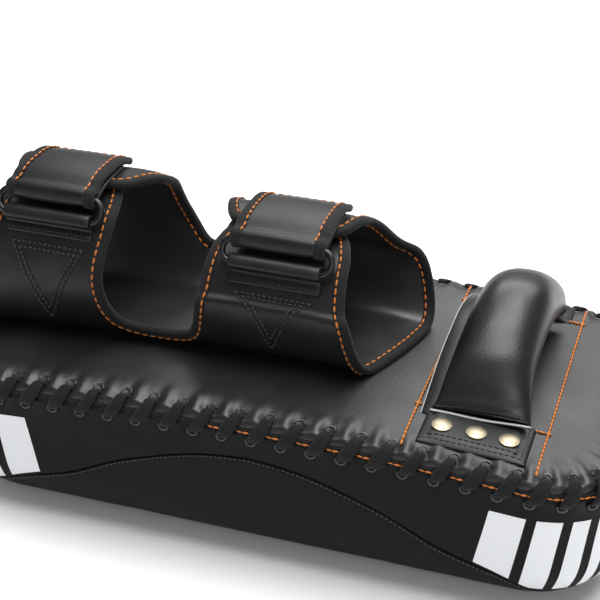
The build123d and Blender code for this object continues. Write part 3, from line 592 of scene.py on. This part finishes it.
def build_lace(widest):
    """The flat lace as one closed run round the pad, and the turned leather lip at each hole."""
    points, tangents, widths = lace_route(widest)
    line = catmull(points, 3, closed=True)
    tangent = catmull(tangents, 3, closed=True)
    size = catmull(widths, 3, closed=True)
    ahead = unit(np.roll(line, -1, axis=0) - np.roll(line, 1, axis=0))
    across = unit(tangent - ahead * np.sum(tangent * ahead, axis=1, keepdims=True))
    up = np.cross(ahead, across)
    angle = np.arange(10) * TURN / 10
    ripple = 1 + 0.05 * np.sin(np.arange(len(line)) * 2.1)
    shape = np.stack([np.sign(np.cos(angle)) * np.abs(np.cos(angle)) ** 0.7,
                      np.sign(np.sin(angle)) * np.abs(np.sin(angle)) ** 0.8], -1)
    profile = shape[None] * np.stack([size[:, 0] / 2 * ripple, size[:, 1] / 2], -1)[:, None]
    verts, faces = sweep(line, across, up, profile, closed=True)
    lace = piece("lacing", verts, faces, "lace", MATERIALS["lace"])
    outward(lace)
    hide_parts("lace")

    parts = []
    swing = np.linspace(-0.15 * math.pi, 1.15 * math.pi, 15)
    ring = np.arange(7) * TURN / 7
    for index in range(STITCHES):
        for s, out, drop, reach in (((index + 0.5) * PITCH, -HOLE_INSET - 0.6, 1.0, -1.0),
                                    ((index + 0.5) * PITCH - SLANT, 0.9, HOLE_DROP - 0.6, 0.0)):
            base = edge_point(np.array([s]), np.array([out]), drop)[0]
            _, normal, tangent = (np.append(v[0], 0.0) for v in outline(np.array([s])))
            inward = -normal if reach < 0 else np.array([0.0, 0.0, -1.0])
            raised = np.array([0.0, 0.0, 1.0]) if reach < 0 else normal
            arc = base + np.cos(swing)[:, None] * tangent * 3.0 + np.sin(swing)[:, None] * inward * 2.6
            thick = 0.45 + 0.75 * np.clip(np.sin(swing), 0, 1)
            frame_side = unit(arc - base)
            lift = np.repeat(raised[None], len(arc), axis=0)
            profile = np.stack([np.cos(ring), np.sin(ring)], -1)[None] * thick[:, None, None]
            parts.append(sweep(arc, frame_side, lift, profile))
    lips = piece("hole_lips", *merge(parts), "pad_leather", MATERIALS["lip"])
    outward(lips)

    parts = []
    for index in range(STITCHES):
        centre = (index + 0.5) * PITCH - 0.35 * SLANT + PITCH / 2
        for shift in (-2.4, 1.9):
            s = centre + shift + np.linspace(-1.7, 1.7, 3)
            if abs((s[1] + 0.5 * PERIMETER) % PERIMETER - 0.5 * PERIMETER - 255) > 125:
                continue
            run = edge_point(s, np.full(3, 0.1), np.array([8.6, 8.8, 9.0]))
            normals = np.column_stack([outline(s)[1], np.full(3, 0.4)])
            parts.append(stitch_row(run, normals, 3.4, 3.5, 0.42))
    piece("tape_thread", *merge(parts), "binding_tape", MATERIALS["orange"])


# ---------------- forearm cradle
SHEET_SPANS = 16            # between the control points of the section


def cuff_top(x):
    """Height of the closed flaps: the left cuff stands a little taller than the right one."""
    share = smooth(-105, -55, x)
    return CUFFS["left"]["top"] * (1 - share) + CUFFS["right"]["top"] * share


def cradle_section(x):
    """Control points of the bent sheet at X, from the near tongue round to the far flap."""
    low = float(back_height(x)) + 2.2
    top = float(cuff_top(x))
    sag = 1.6 * math.sin(x / 19.0)
    return np.array([
        (9, top - 7.9), (-14, top - 8.8), (-30, top - 16), (-42 - 0.3 * sag, top - 33),
        (-47 - 0.4 * sag, low + 38), (-43, low + 15), (-33, low + 1.5), (-16, low), (0, low), (16, low),
        (33, low + 1.5), (43, low + 15), (47 + 0.4 * sag, low + 40), (41, top - 27), (28, top - 9),
        (12, top - 1.8), (-8, top - 1.8)])


def cradle_surface(xu):
    """Points and outward normals of the cradle's sheet at (x, u) places."""
    x, u = xu[:, 0], xu[:, 1]
    out = np.zeros((len(x), 3))
    slope = np.zeros((len(x), 3))
    for i in range(len(x)):
        p = cradle_section(x[i])
        k = int(min(max(math.floor(u[i]), 0), SHEET_SPANS - 1))
        t = u[i] - k
        a, b, c, d = p[max(k - 1, 0)], p[k], p[k + 1], p[min(k + 2, SHEET_SPANS)]
        yz = bend(a, b, c, d, t)
        dyz = 0.5 * ((c - a) + 2 * (2 * a - 5 * b + 4 * c - d) * t + 3 * (3 * b - a - 3 * c + d) * t ** 2)
        out[i] = (x[i], yz[0], yz[1])
        slope[i] = (0, dyz[0], dyz[1])
    slope = unit(slope)
    normal = np.column_stack([np.zeros(len(x)), slope[:, 2], -slope[:, 1]])
    wall = np.clip((out[:, 2] - 125) / 40, 0, 1)
    crease = 0.8 * np.sin(x / 8.5 + u * 1.7) * np.sin(u * 2.3 + x / 31) * wall
    return out + normal * crease[:, None], normal


# outline of the sheet as (x, u), anticlockwise: u counts the control points of the section
SHEET_OUTLINE = [
    (-168, 0.0), (-180, 0.35), (-184, 1.2), (-186, 2.2), (-187, 3.2), (-190, 4.2), (-196, 5.2),
    (-201, 6.2), (-203, 7.5), (-203, 9.0), (-203, 10.3), (-202, 11.3), (-198, 12.3), (-194, 13.3),
    (-191, 14.2), (-188, 15.1), (-180, 15.9), (-160, 16.0), (-135, 16.0), (-112, 15.9), (-97, 15.1),
    (-92, 14.2), (-92, 13.3), (-89, 12.4), (-83, 11.8), (-75, 11.5), (-67, 11.65), (-60, 12.3),
    (-54, 13.2), (-50, 14.2), (-48, 15.1), (-38, 15.9), (-18, 16.0), (6, 16.0), (26, 15.9), (36, 15.1),
    (40, 14.2), (49, 13.3), (62, 12.4), (72, 11.5), (76, 10.6), (76, 9.7), (73, 8.9), (68, 7.9),
    (61, 6.8), (54, 5.9), (49, 5.0), (44, 4.0), (40, 3.0), (38, 2.1), (36, 1.2), (28, 0.35), (10, 0.0),
    (-22, 0.0), (-37, 0.35), (-44, 1.2), (-47, 2.2), (-48.5, 3.2), (-50, 4.2), (-54, 4.9), (-63, 5.25),
    (-82, 5.3), (-98, 5.1), (-107, 4.7), (-112, 4.0), (-112, 3.1), (-110, 2.2), (-111, 1.2), (-118, 0.35),
    (-134, 0.0)]


def inside(points, loop):
    """Which points lie inside a closed loop."""
    x, y = points[:, 0], points[:, 1]
    hit = np.zeros(len(points), bool)
    for a, b in zip(loop, np.roll(loop, -1, axis=0)):
        crosses = (a[1] > y) != (b[1] > y)
        at = (b[0] - a[0]) * (y - a[1]) / (b[1] - a[1] + 1e-12) + a[0]
        hit ^= crosses & (x < at)
    return hit


def build_cradle(thickness):
    """The one-piece forearm cradle: leather sheet, bound edge and its orange stitching."""
    loop = catmull(SHEET_OUTLINE, 6, closed=True)
    step_x, step_u, start_x, span_x = 2.5, 0.125, -207, 292
    columns = int(span_x / step_x)
    rows = int(SHEET_SPANS / step_u) + 1
    gx, gu = np.meshgrid(start_x + step_x * np.arange(columns), step_u * np.arange(rows))
    grid = np.column_stack([gx.ravel(), gu.ravel()])
    keep = inside(grid, loop)
    cells = []
    for r in range(rows - 1):
        for c in range(columns - 1):
            low, high = r * columns + c, (r + 1) * columns + c
            quad = (low, high, high + 1, low + 1)
            if all(keep[i] for i in quad):
                cells.append(quad)
    used = sorted({i for q in cells for i in q})
    index = {old: new for new, old in enumerate(used)}
    faces = [tuple(index[i] for i in q) for q in cells]
    verts, _ = cradle_surface(grid[used])
    sheet = piece("cradle_leather", verts, faces, "cuff_leather", MATERIALS["cuff"])
    # the inner shell takes the lining, whose lighter colour is painted light
    sheet.data.materials.append(MATERIALS["lining"])
    finish_modifier(sheet, "SOLIDIFY", thickness=thickness, offset=0.0, material_offset=1)
    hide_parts("arm_cradle")

    # tape folded over the whole edge
    to_mm = np.array([1.0, 18.0])   # one span of the section is about 18 mm
    edge = resample(loop * to_mm, 3.2, closed=True) / to_mm
    line, up = cradle_surface(edge)
    ahead = unit(np.roll(line, -1, axis=0) - np.roll(line, 1, axis=0))
    out = unit(np.cross(ahead, up))
    up = unit(np.cross(out, ahead))
    tape = [(-5.6, 2.0), (-5.0, 2.5), (-0.8, 2.6), (0.9, 1.9), (1.5, 0.0), (0.9, -1.9), (-0.8, -2.6),
            (-5.0, -2.5), (-5.6, -2.0)]
    sign = -1.0 if loop_area(loop) > 0 else 1.0
    verts, faces = sweep(line, out * sign, up, tape, closed=True)
    binding = piece("cradle_tape", verts, faces, "binding_tape", MATERIALS["tape"])
    outward(binding)
    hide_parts("cradle_binding")
    parts = []
    for level in (2.62, -2.62):
        run = line - out * sign * 4.1 + up * level
        parts.append(stitch_row(run, up * np.sign(level), *DECOR))
    piece("cradle_thread", *merge(parts), "binding_tape", MATERIALS["orange"])


def loop_area(loop):
    """Twice the signed area of a closed loop in x and u."""
    ahead = np.roll(loop, -1, axis=0)
    return float(np.sum(loop[:, 0] * ahead[:, 1] - ahead[:, 0] * loop[:, 1]))


# ---------------- straps, tabs and rings
ALONG = np.array([math.cos(RING_TILT), math.sin(RING_TILT)])
OUT = np.array([-math.sin(RING_TILT), math.cos(RING_TILT)])


def band(name, yz, width, thickness, centre_x, slot, material, body, crown=0.5, face=1.0):
    """A leather band bent along a line in the YZ plane; face says on which side it is crowned."""
    line2 = resample(catmull(yz, 8), 1.6)
    line = np.column_stack([np.full(len(line2), centre_x), line2])
    ahead = unit(np.gradient(line, axis=0))
    across = np.repeat([[1.0, 0.0, 0.0]], len(line), axis=0)
    up = np.cross(ahead, across) * face
    half, thick = width / 2, thickness / 2
    top = [(x * half, thick + crown * (1 - x * x)) for x in np.linspace(0.94, -0.94, 9)]
    under = [(x * half, -thick) for x in np.linspace(-0.94, 0.94, 9)]
    left = [(-half, thick * 0.5), (-half, -thick * 0.5)]
    right = [(half, -thick * 0.5), (half, thick * 0.5)]
    verts, faces = sweep(line, across, up, top + left + under + right)
    made = piece(name, verts, faces, slot, material, body)
    outward(made)
    return made, line, up


def edge_tapes(line, up, width, thickness):
    """Tape folded over both long edges of a band."""
    across = np.repeat([[1.0, 0.0, 0.0]], len(line), axis=0)
    parts = []
    for side in (-1, 1):
        at = line + across * side * (width / 2 - 3.0)
        shape = np.array([(-3.0, 0.5), (-2.4, 0.72), (2.4, 0.74), (3.5, 0.3), (3.5, -0.3), (2.4, -0.74),
                          (-2.4, -0.72), (-3.0, -0.5)])
        shape[:, 1] *= thickness
        parts.append(sweep(at, across * side, up, shape))
    return merge(parts)


def from_bar(bar, along, out):
    """Place beside a ring bar, in Y and Z."""
    return bar + along * ALONG + out * OUT


def build_cuff_hardware(name, x, top, padding):
    """Ring, folded tab, strap and its hook-and-loop end for one cuff."""
    upper = np.array([-30.0, top - 0.7])
    lower = upper - RING_SPAN * ALONG
    # tab: one strip from the flap, round the lower bar and back
    leg, leg_normal = cradle_surface(np.array([[x, u] for u in (2.62, 2.45, 2.3)]))
    outer_leg = [(p + n * 2.7)[1:] for p, n in zip(leg, leg_normal)]
    turn = [from_bar(lower, 4.6 * math.sin(a), 3.3 * math.cos(a))
            for a in np.linspace(-0.5, math.pi + 0.3, 9)]
    inner_leg = [from_bar(lower, -5.0, -3.2)]
    tab, _, _ = band(f"{name}_tab_leather", outer_leg + turn + inner_leg, STRAP_WIDTH, 1.7, x,
                     "cuff_leather", MATERIALS["cuff"], "root", crown=0.15, face=-1.0)
    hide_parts(f"{name}_ring_tab")

    # black double stitching: a bar under the fold and a triangle pointing down
    parts = []
    half = STRAP_WIDTH / 2 - 2
    for inset in (0.0, 3.2):
        side, high = half - 3 - inset * 1.5, 2.88 + inset * 0.05
        corners = [(x - side, high), (x, 5.1 - inset * 0.11), (x + side, high), (x - side, high)]
        for a, b in zip(corners[:-1], corners[1:]):
            share = np.linspace(0.02, 0.98, 24)[:, None]
            run = np.array(a) * (1 - share) + np.array(b) * share
            place, normal = cradle_surface(run)
            parts.append(stitch_row(place + normal * 2.0, normal, *TAB_SEAM))
    share = np.linspace(0, 1, 20)
    place, normal = cradle_surface(np.column_stack([x - half + share * 2 * half, np.full(20, 2.5)]))
    parts.append(stitch_row(place + normal * 3.75, normal, 3.4, 2.7, 0.5))
    piece(f"{name}_tab_thread", *merge(parts), "cuff_leather", MATERIALS["black"])

    feed_top = top + 1.25
    feed_line = [(14, feed_top), (5, feed_top), (-6, feed_top), (-14, feed_top - 0.6),
                 from_bar(upper, 2.5, -6.3), from_bar(upper, -2, -6.2)]
    feed, _, _ = band(f"{name}_feed_leather", feed_line, STRAP_WIDTH, 2.4, x, "cuff_leather",
                      MATERIALS["cuff"], "root", crown=0.1)
    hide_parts(f"{name}_strap_feed")

    # the strap's end lies over the feed and both tapes
    run = top + 2.5 + 1.0 + 0.3 + 1.0 + 1.25
    wrap = [from_bar(upper, -3.6 * math.sin(a), -3.6 * math.cos(a)) for a in np.linspace(0.0, math.pi, 9)]
    end_line = wrap + [from_bar(upper, 2.6, 4.2), (-25.6, run - 2.6), (-20, run - 0.2), (-13, run + 0.9),
                       (-5, run + 1.0), (3, run + 0.6), (11, run - 0.5), (19, run - 3.0), (26, run - 6.4)]
    end, line, up = band(f"{name}_strap_leather", end_line, STRAP_WIDTH, padding, x, "cuff_leather",
                         MATERIALS["cuff"], f"{name}_strap", crown=0.9, face=-1.0)
    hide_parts(f"{name}_strap_end")
    tapes = piece(f"{name}_strap_tape", *edge_tapes(line, up, STRAP_WIDTH, padding + 0.2), "binding_tape",
                  MATERIALS["tape"], f"{name}_strap")
    outward(tapes)
    parts = []
    skip = 10                       # points of the line that wrap the ring
    for side in (-1, 1):
        offset = np.array([side * 22.9, 0, 0])
        parts.append(stitch_row(line[skip:] + offset + up[skip:] * 2.5, up[skip:], *DECOR))
    tip = np.array([line[-3] + up[-3] * 2.3 + np.array([t, 0, 0]) for t in np.linspace(-22, 22, 10)])
    parts.append(stitch_row(tip, np.repeat(up[-3][None], 10, axis=0), 5.2, 3.9, 0.5))
    piece(f"{name}_strap_thread", *merge(parts), "cuff_leather", MATERIALS["orange"], f"{name}_strap")


# ---------------- handle
def build_handle():
    """Padded roll, its seam flange and the riveted patches."""
    base = float(back_height(HANDLE_X))
    rows = catmull(ROLL, 14)
    angle = np.arange(40) * TURN / 40
    rings = []
    for k, (y, shift, height, half_wide, half, tilt) in enumerate(rows):
        lean = math.radians(tilt)
        across = np.array([1.0, 0.0, 0.0])
        up = np.array([0.0, -math.sin(lean), math.cos(lean)])
        end = min(k, len(rows) - 1 - k) / 8.0
        fold = 0.9 * max(0.0, 1 - end / 1.8)
        radius = 1 + 0.03 * np.cos(9 * angle + 1.0) * fold
        shape_x = np.sign(np.cos(angle)) * np.abs(np.cos(angle)) ** 0.86 * half_wide * radius
        shape_z = np.sign(np.sin(angle)) * np.abs(np.sin(angle)) ** 0.92 * half * radius
        wrinkle = 0.3 * np.sin(k * 0.9 + 2 * angle) * (0.4 + max(0.0, 1 - end))
        rings.append(np.array([HANDLE_X + shift, y, base + height]) + across * shape_x[:, None]
                     + up * (shape_z + wrinkle)[:, None])
    verts = np.vstack(rings)
    faces = grid_faces(len(rings), 40, wrap=True)
    faces += [tuple(range(40))[::-1], tuple(len(verts) - 40 + i for i in range(40))]
    roll = piece("handle_leather", verts, faces, "cuff_leather", MATERIALS["grip"])
    outward(roll)
    finish_modifier(roll, "SUBSURF", levels=1, render_levels=1)
    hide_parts("handle_cover", "handle_foam", "handle_strap")

    # seam flange along the near-left side: two skins sewn together, with a pale cut edge
    arch = catmull([(-30.5, -60.0, base + 1.8), (-30.0, -50.0, base + 6.5), (-28.5, -28.0, base + 19.0),
                    (-26.5, -6.0, base + 28.5), (-25.5, 18.0, base + 31.0), (-24.0, 42.0, base + 25.0),
                    (-23.5, 62.0, base + 10.0), (-23.5, 71.0, base + 3.0)], 8)
    line = arch + np.array([HANDLE_X, 0.0, 0.0])
    ahead = unit(np.gradient(line, axis=0))
    across = unit(np.array([1.0, 0.0, 0.0]) - ahead * ahead[:, :1])
    up = np.cross(ahead, across)
    leaf = [(-4.2, 1.1), (-3.6, 1.6), (3.0, 1.9), (8.0, 2.2), (8.0, -2.2), (3.0, -1.9), (-3.6, -1.6),
            (-4.2, -1.1)]
    flange = piece("handle_flange", *sweep(line, across, up, leaf), "cuff_leather", MATERIALS["cuff"])
    outward(flange)
    rim = [(-4.9, 0.8), (-4.3, 1.2), (-4.0, 0.8), (-4.0, -0.8), (-4.3, -1.2), (-4.9, -0.8)]
    edge = piece("flange_edge", *sweep(line, across, up, rim), "cuff_leather", MATERIALS["raw"])
    outward(edge)
    # pale cut edge of the cover where it is tucked under the near patch's seam
    hem = np.column_stack([HANDLE_X + np.linspace(-30, 29, 30),
                           -58.4 - 1.0 * np.cos(np.linspace(-1.4, 1.4, 30)),
                           base + 5.2 + 0.25 * np.sin(np.linspace(0, 9, 30))])
    forward = unit(np.gradient(hem, axis=0))
    side = unit(np.cross([0.0, 0.0, 1.0], forward))
    cut = [(-0.8, 0.35), (0.0, 0.55), (0.8, 0.35), (0.8, -0.35), (0.0, -0.55), (-0.8, -0.35)]
    rim = piece("hem_edge", *sweep(hem, side, np.cross(forward, side), cut), "cuff_leather", MATERIALS["raw"])
    outward(rim)

    for name, (low, high) in (("near", NEAR_PATCH), ("far", FAR_PATCH)):
        build_patch(name, low, high)


def on_back(x, y, lift):
    """Places on the bowed back at a lift above it."""
    x, y = np.asarray(x, float), np.asarray(y, float)
    z = back_height(x) + lift
    return np.stack([x, y, z], -1)


def build_patch(name, low, high):
    """Leather patch over one end of the handle, with its double black stitching."""
    x0, x1 = HANDLE_X - PATCH_HALF, HANDLE_X + PATCH_HALF
    us = np.concatenate([[0, 0.015, 0.05], np.linspace(0.1, 0.9, 17), [0.95, 0.985, 1]])
    gx, gy = np.meshgrid(x0 + us * (x1 - x0), low + us * (high - low))
    edge = np.minimum(np.minimum(gx - x0, x1 - gx), np.minimum(gy - low, high - gy))
    over = 1 - smooth(22.5, 28.0, np.abs(gx - HANDLE_X))
    over *= smooth(low + 1.0, low + 6.0, gy) if name == "near" else 1 - smooth(high - 6.0, high - 1.0, gy)
    lift = PATCH_EDGE_LIFT + (PATCH_LIFT - PATCH_EDGE_LIFT) * over
    lift = lift - 1.2 * np.exp(-(edge / 0.8) ** 2) - 0.35 * np.exp(-((edge - 4.7) / 1.0) ** 2)
    n = len(us)
    top = on_back(gx.ravel(), gy.ravel(), lift.ravel())
    bottom = on_back(gx.ravel(), gy.ravel(), np.full(gx.size, 0.15))
    faces = grid_faces(n, n) + grid_faces(n, n, offset=n * n, flip=True)
    rim = ([i for i in range(n)] + [r * n + n - 1 for r in range(1, n)]
           + [(n - 1) * n + i for i in range(n - 2, -1, -1)] + [r * n for r in range(n - 2, 0, -1)])
    faces += [(rim[k], rim[(k + 1) % len(rim)], rim[(k + 1) % len(rim)] + n * n, rim[k] + n * n)
              for k in range(len(rim))]
    patch = piece(f"{name}_patch_leather", np.vstack([top, bottom]), faces, "cuff_leather", MATERIALS["cuff"])
    outward(patch)
    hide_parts(f"{name}_patch")
    parts = []
    for inset in (3.2, 6.2):
        corners = [(x0 + inset, low + inset), (x1 - inset, low + inset), (x1 - inset, high - inset),
                   (x0 + inset, high - inset), (x0 + inset, low + inset)]
        for a, b in zip(corners[:-1], corners[1:]):
            t = np.linspace(0.02, 0.98, 20)
            x_run, y_run = a[0] + (b[0] - a[0]) * t, a[1] + (b[1] - a[1]) * t
            rise = 1 - smooth(22.5, 28.0, np.abs(x_run - HANDLE_X))
            outer = low if name == "near" else high
            rise *= smooth(1.0, 6.0, np.abs(y_run - outer))
            run = on_back(x_run, y_run, PATCH_EDGE_LIFT + (PATCH_LIFT - PATCH_EDGE_LIFT) * rise + 0.1)
            parts.append(stitch_row(run, np.tile([0.0, 0.0, 1.0], (20, 1)), 3.4, 2.6, 0.45))
    piece(f"{name}_patch_thread", *merge(parts), "cuff_leather", MATERIALS["black"])


def build_panel_thread():
    """Orange stitch lines of the reinforced strip across the back."""
    parts = []
    up = [0.0, 0.0, 1.0]
    runs = [((x, -90), (x, 90)) for x in PANEL]
    for y in (-52, 72):
        runs += [((PANEL[0], y), (PANEL[0] + 8, y)), ((PANEL[1] - 8, y), (PANEL[1], y))]
    for a, b in runs:
        t = np.linspace(0, 1, 60)
        x, y = a[0] + (b[0] - a[0]) * t, a[1] + (b[1] - a[1]) * t
        edge = WIDTH / 2 - np.abs(y)
        slump = 0.9 - 0.052 * np.maximum(0.0, 17.0 - edge) ** 1.62
        run = on_back(x, y, 0.5 + slump + bow_unevenness(x, y))
        parts.append(stitch_row(run, np.tile(up, (60, 1)), 4.0, 4.3, 0.75))
    piece("panel_thread", *merge(parts), "pad_leather", MATERIALS["orange"])


# ---------------- print
def build_print():
    """Plain slanted white bars at both ends of each long side."""
    bars = [(137, 21), (164, 15), (185, 11), (202, 8), (216, 6)]
    parts = []
    for mirror in (1, -1):
        for turn in (1, -1):
            for start, wide in bars:
                parts.append(print_bar(start, wide, mirror, turn))
    piece("print_bars", *merge(parts), "pad_leather", MATERIALS["print"])


def print_bar(start, wide, mirror, turn):
    """One slanted bar printed on the side band."""
    n, m = 15, 9
    height = np.linspace(0, 1, n)
    share = np.linspace(0, 1, m)
    rows = []
    for h in height:
        # distance along the outline, measured from the middle of the long side
        run = start + wide * share + 7.0 * h
        s = LENGTH / 2 - CORNER + run if mirror * turn > 0 else LENGTH / 2 - CORNER - run
        if turn < 0:
            s = s + PERIMETER / 2
        point, normal, _ = outline(s)
        top = back_height(point[:, 0]) - 25.0
        low = np.maximum(top - 53.0, seam_height(point[:, 0]) + 3.0)
        z = low + (top - low) * h
        bulge = 0.35 * np.sin(point[:, 0] / 27 + 0.8) * np.sin(z / 14) + 0.28
        rows.append(side_point(point, normal, z, bulge))
    return np.vstack(rows), grid_faces(n, m, flip=mirror * turn < 0)


# ---------------- stage
def build_stage():
    """Pale floor, soft studio lights and the camera."""
    bpy.ops.object.select_all(action="DESELECT")
    bpy.ops.mesh.primitive_plane_add(size=12.0, location=(0, 2.0, -0.0005))
    floor = bpy.context.object
    floor.name = "studio_floor"
    floor.data.materials.append(plain("White studio paper", "#f4f4f4", 0.8, 4.0))

    world = bpy.data.worlds.new("Studio") if not bpy.context.scene.world else bpy.context.scene.world
    bpy.context.scene.world = world
    world.use_nodes = True
    world.node_tree.nodes["Background"].inputs[0].default_value = (1, 1, 1, 1)
    world.node_tree.nodes["Background"].inputs[1].default_value = 0.30
    for name, place, size, power, aim in (
            ("key", (0.1, 1.4, 1.5), (2.0, 1.1), 30.0, (0.05, 0.0, 0.1)),
            ("top", (0.2, 0.1, 2.2), (1.6, 1.6), 60.0, (0.05, 0.0, 0.1)),
            ("front", (0.9, -1.5, 1.2), (0.8, 0.5), 7.0, (0.0, 0.0, 0.1))):
        light = bpy.data.lights.new(name, "AREA")
        light.shape = "RECTANGLE"
        light.size, light.size_y = size
        light.energy = power
        lamp = bpy.data.objects.new(name, light)
        bpy.context.scene.collection.objects.link(lamp)
        lamp.location = place
        lamp.rotation_euler = (Vector(aim) - Vector(place)).to_track_quat("-Z", "Y").to_euler()

    camera = bpy.data.cameras.new("camera")
    camera.lens = 90.0
    camera.sensor_width = 36.0
    view = bpy.data.objects.new("camera", camera)
    bpy.context.scene.collection.objects.link(view)
    view.location = (0.247, -0.759, 0.608)
    view.rotation_euler = (math.radians(90 - 31), 0.0, math.radians(18))
    bpy.context.scene.camera = view
    bpy.context.scene.view_settings.view_transform = "Standard"


# ---------------- add-on
def colour_setting(name, description, default):
    """One colour of the add-on's panel."""
    return bpy.props.StringProperty(name=name, description=description, default=default)


def size_setting(name, description, default_mm):
    """One length of the add-on's panel."""
    return bpy.props.FloatProperty(name=name, description=description, default=default_mm * MM, unit="LENGTH")


class ThaiPadColours(bpy.types.PropertyGroup):
    """Colours that a maker would change."""
    back_leather: colour_setting("Back leather", "Leather of the laced back, sRGB hex", "#111112")
    side_leather: colour_setting("Side leather", "Leather of the side band, sRGB hex", "#0a0a0b")
    cuff_leather: colour_setting("Cuff leather", "Leather of cuffs and handle, sRGB hex", "#0d0d0e")
    thread: colour_setting("Thread", "Decorative thread, sRGB hex", "#d07a22")
    print_ink: colour_setting("Print", "Printed bars on the side, sRGB hex", "#dfe1e4")


class ThaiPadSizes(bpy.types.PropertyGroup):
    """Sizes that a maker would change."""
    casing_leather: size_setting("Casing leather", "Thickness of the casing's leather", 1.2)
    cradle_leather: size_setting("Cradle leather", "Thickness of the folded cradle", 3.2)
    lace_width: size_setting("Lace width", "Flat lace at its widest, over the edge", 8.0)
    strap_thickness: size_setting("Strap thickness", "Padded end of each cuff strap", 3.0)


class BuildStep:
    """One step of the build, run from its operator."""

    def execute(self, context):
        self.build(context.scene)
        return {"FINISHED"}


class THAIPAD_OT_materials(BuildStep, bpy.types.Operator):
    """Make every finish and give the metal and foam pieces theirs"""
    bl_idname = "thaipad.materials"
    bl_label = "Finishes"

    def build(self, scene):
        make_materials(scene.thai_pad_colours)
        finishes = {"near_rivets": "nickel", "far_rivets": "nickel", "near_rivet_washers": "nickel",
                    "far_rivet_washers": "nickel", "left_ring": "gunmetal", "right_ring": "gunmetal",
                    "face_foam": "foam", "core_foam": "foam", "back_foam": "foam", "handle_backing": "cuff",
                    "left_loop_patch": "tape", "right_loop_patch": "tape", "left_hook_patch": "tape",
                    "right_hook_patch": "tape"}
        for node_name, finish_name in finishes.items():
            node = bpy.data.objects[node_name]
            node.data.materials.clear()
            node.data.materials.append(MATERIALS[finish_name])


class THAIPAD_OT_casing(BuildStep, bpy.types.Operator):
    """Build the padded casing: back, tape, side band and striking face"""
    bl_idname = "thaipad.casing"
    bl_label = "Casing"

    def build(self, scene):
        build_casing(scene.thai_pad_sizes.casing_leather)
        build_panel_thread()


class THAIPAD_OT_lacing(BuildStep, bpy.types.Operator):
    """Lace the back to the side band"""
    bl_idname = "thaipad.lacing"
    bl_label = "Lacing"

    def build(self, scene):
        build_lace(scene.thai_pad_sizes.lace_width / MM)


class THAIPAD_OT_cradle(BuildStep, bpy.types.Operator):
    """Build the forearm cradle with its bound and stitched edge"""
    bl_idname = "thaipad.cradle"
    bl_label = "Forearm cradle"

    def build(self, scene):
        build_cradle(scene.thai_pad_sizes.cradle_leather)


class THAIPAD_OT_straps(BuildStep, bpy.types.Operator):
    """Build both cuffs' tabs and straps"""
    bl_idname = "thaipad.straps"
    bl_label = "Straps"

    def build(self, scene):
        padding = scene.thai_pad_sizes.strap_thickness / MM
        for name, cuff in CUFFS.items():
            build_cuff_hardware(name, cuff["x"], cuff["top"], padding)


class THAIPAD_OT_handle(BuildStep, bpy.types.Operator):
    """Build the padded handle and its patches"""
    bl_idname = "thaipad.handle"
    bl_label = "Handle"

    def build(self, scene):
        build_handle()


class THAIPAD_OT_print(BuildStep, bpy.types.Operator):
    """Print the plain bars on the side band"""
    bl_idname = "thaipad.print_bars"
    bl_label = "Printed bars"

    def build(self, scene):
        build_print()


class THAIPAD_OT_stage(BuildStep, bpy.types.Operator):
    """Set up floor, lights and camera"""
    bl_idname = "thaipad.stage"
    bl_label = "Studio"

    def build(self, scene):
        build_stage()


STEPS = (THAIPAD_OT_materials, THAIPAD_OT_casing, THAIPAD_OT_lacing, THAIPAD_OT_cradle, THAIPAD_OT_straps,
         THAIPAD_OT_handle, THAIPAD_OT_print, THAIPAD_OT_stage)


class THAIPAD_PT_panel(bpy.types.Panel):
    """Thai pad tools in the sidebar"""
    bl_label = "Thai pad"
    bl_idname = "THAIPAD_PT_panel"
    bl_space_type = "VIEW_3D"
    bl_region_type = "UI"
    bl_category = "Thai pad"

    def draw(self, context):
        colours = context.scene.thai_pad_colours
        for name in ("back_leather", "side_leather", "cuff_leather", "thread", "print_ink"):
            self.layout.prop(colours, name)
        for name in ("casing_leather", "cradle_leather", "lace_width", "strap_thickness"):
            self.layout.prop(context.scene.thai_pad_sizes, name)
        for step in STEPS:
            self.layout.operator(step.bl_idname)


def register():
    """Register the settings, operators and panel."""
    bpy.utils.register_class(ThaiPadColours)
    for step in STEPS:
        bpy.utils.register_class(step)
    bpy.utils.register_class(THAIPAD_PT_panel)
    bpy.utils.register_class(ThaiPadSizes)
    bpy.types.Scene.thai_pad_colours = bpy.props.PointerProperty(type=ThaiPadColours)
    bpy.types.Scene.thai_pad_sizes = bpy.props.PointerProperty(type=ThaiPadSizes)


def unregister():
    """Undo register."""
    del bpy.types.Scene.thai_pad_sizes
    del bpy.types.Scene.thai_pad_colours
    bpy.utils.unregister_class(ThaiPadSizes)
    bpy.utils.unregister_class(THAIPAD_PT_panel)
    for step in reversed(STEPS):
        bpy.utils.unregister_class(step)
    bpy.utils.unregister_class(ThaiPadColours)


def main():
    """Build everything in order."""
    register()
    for step in STEPS:
        group, operator = step.bl_idname.split(".")
        getattr(getattr(bpy.ops, group), operator)()


if __name__ == "__main__":
    main()
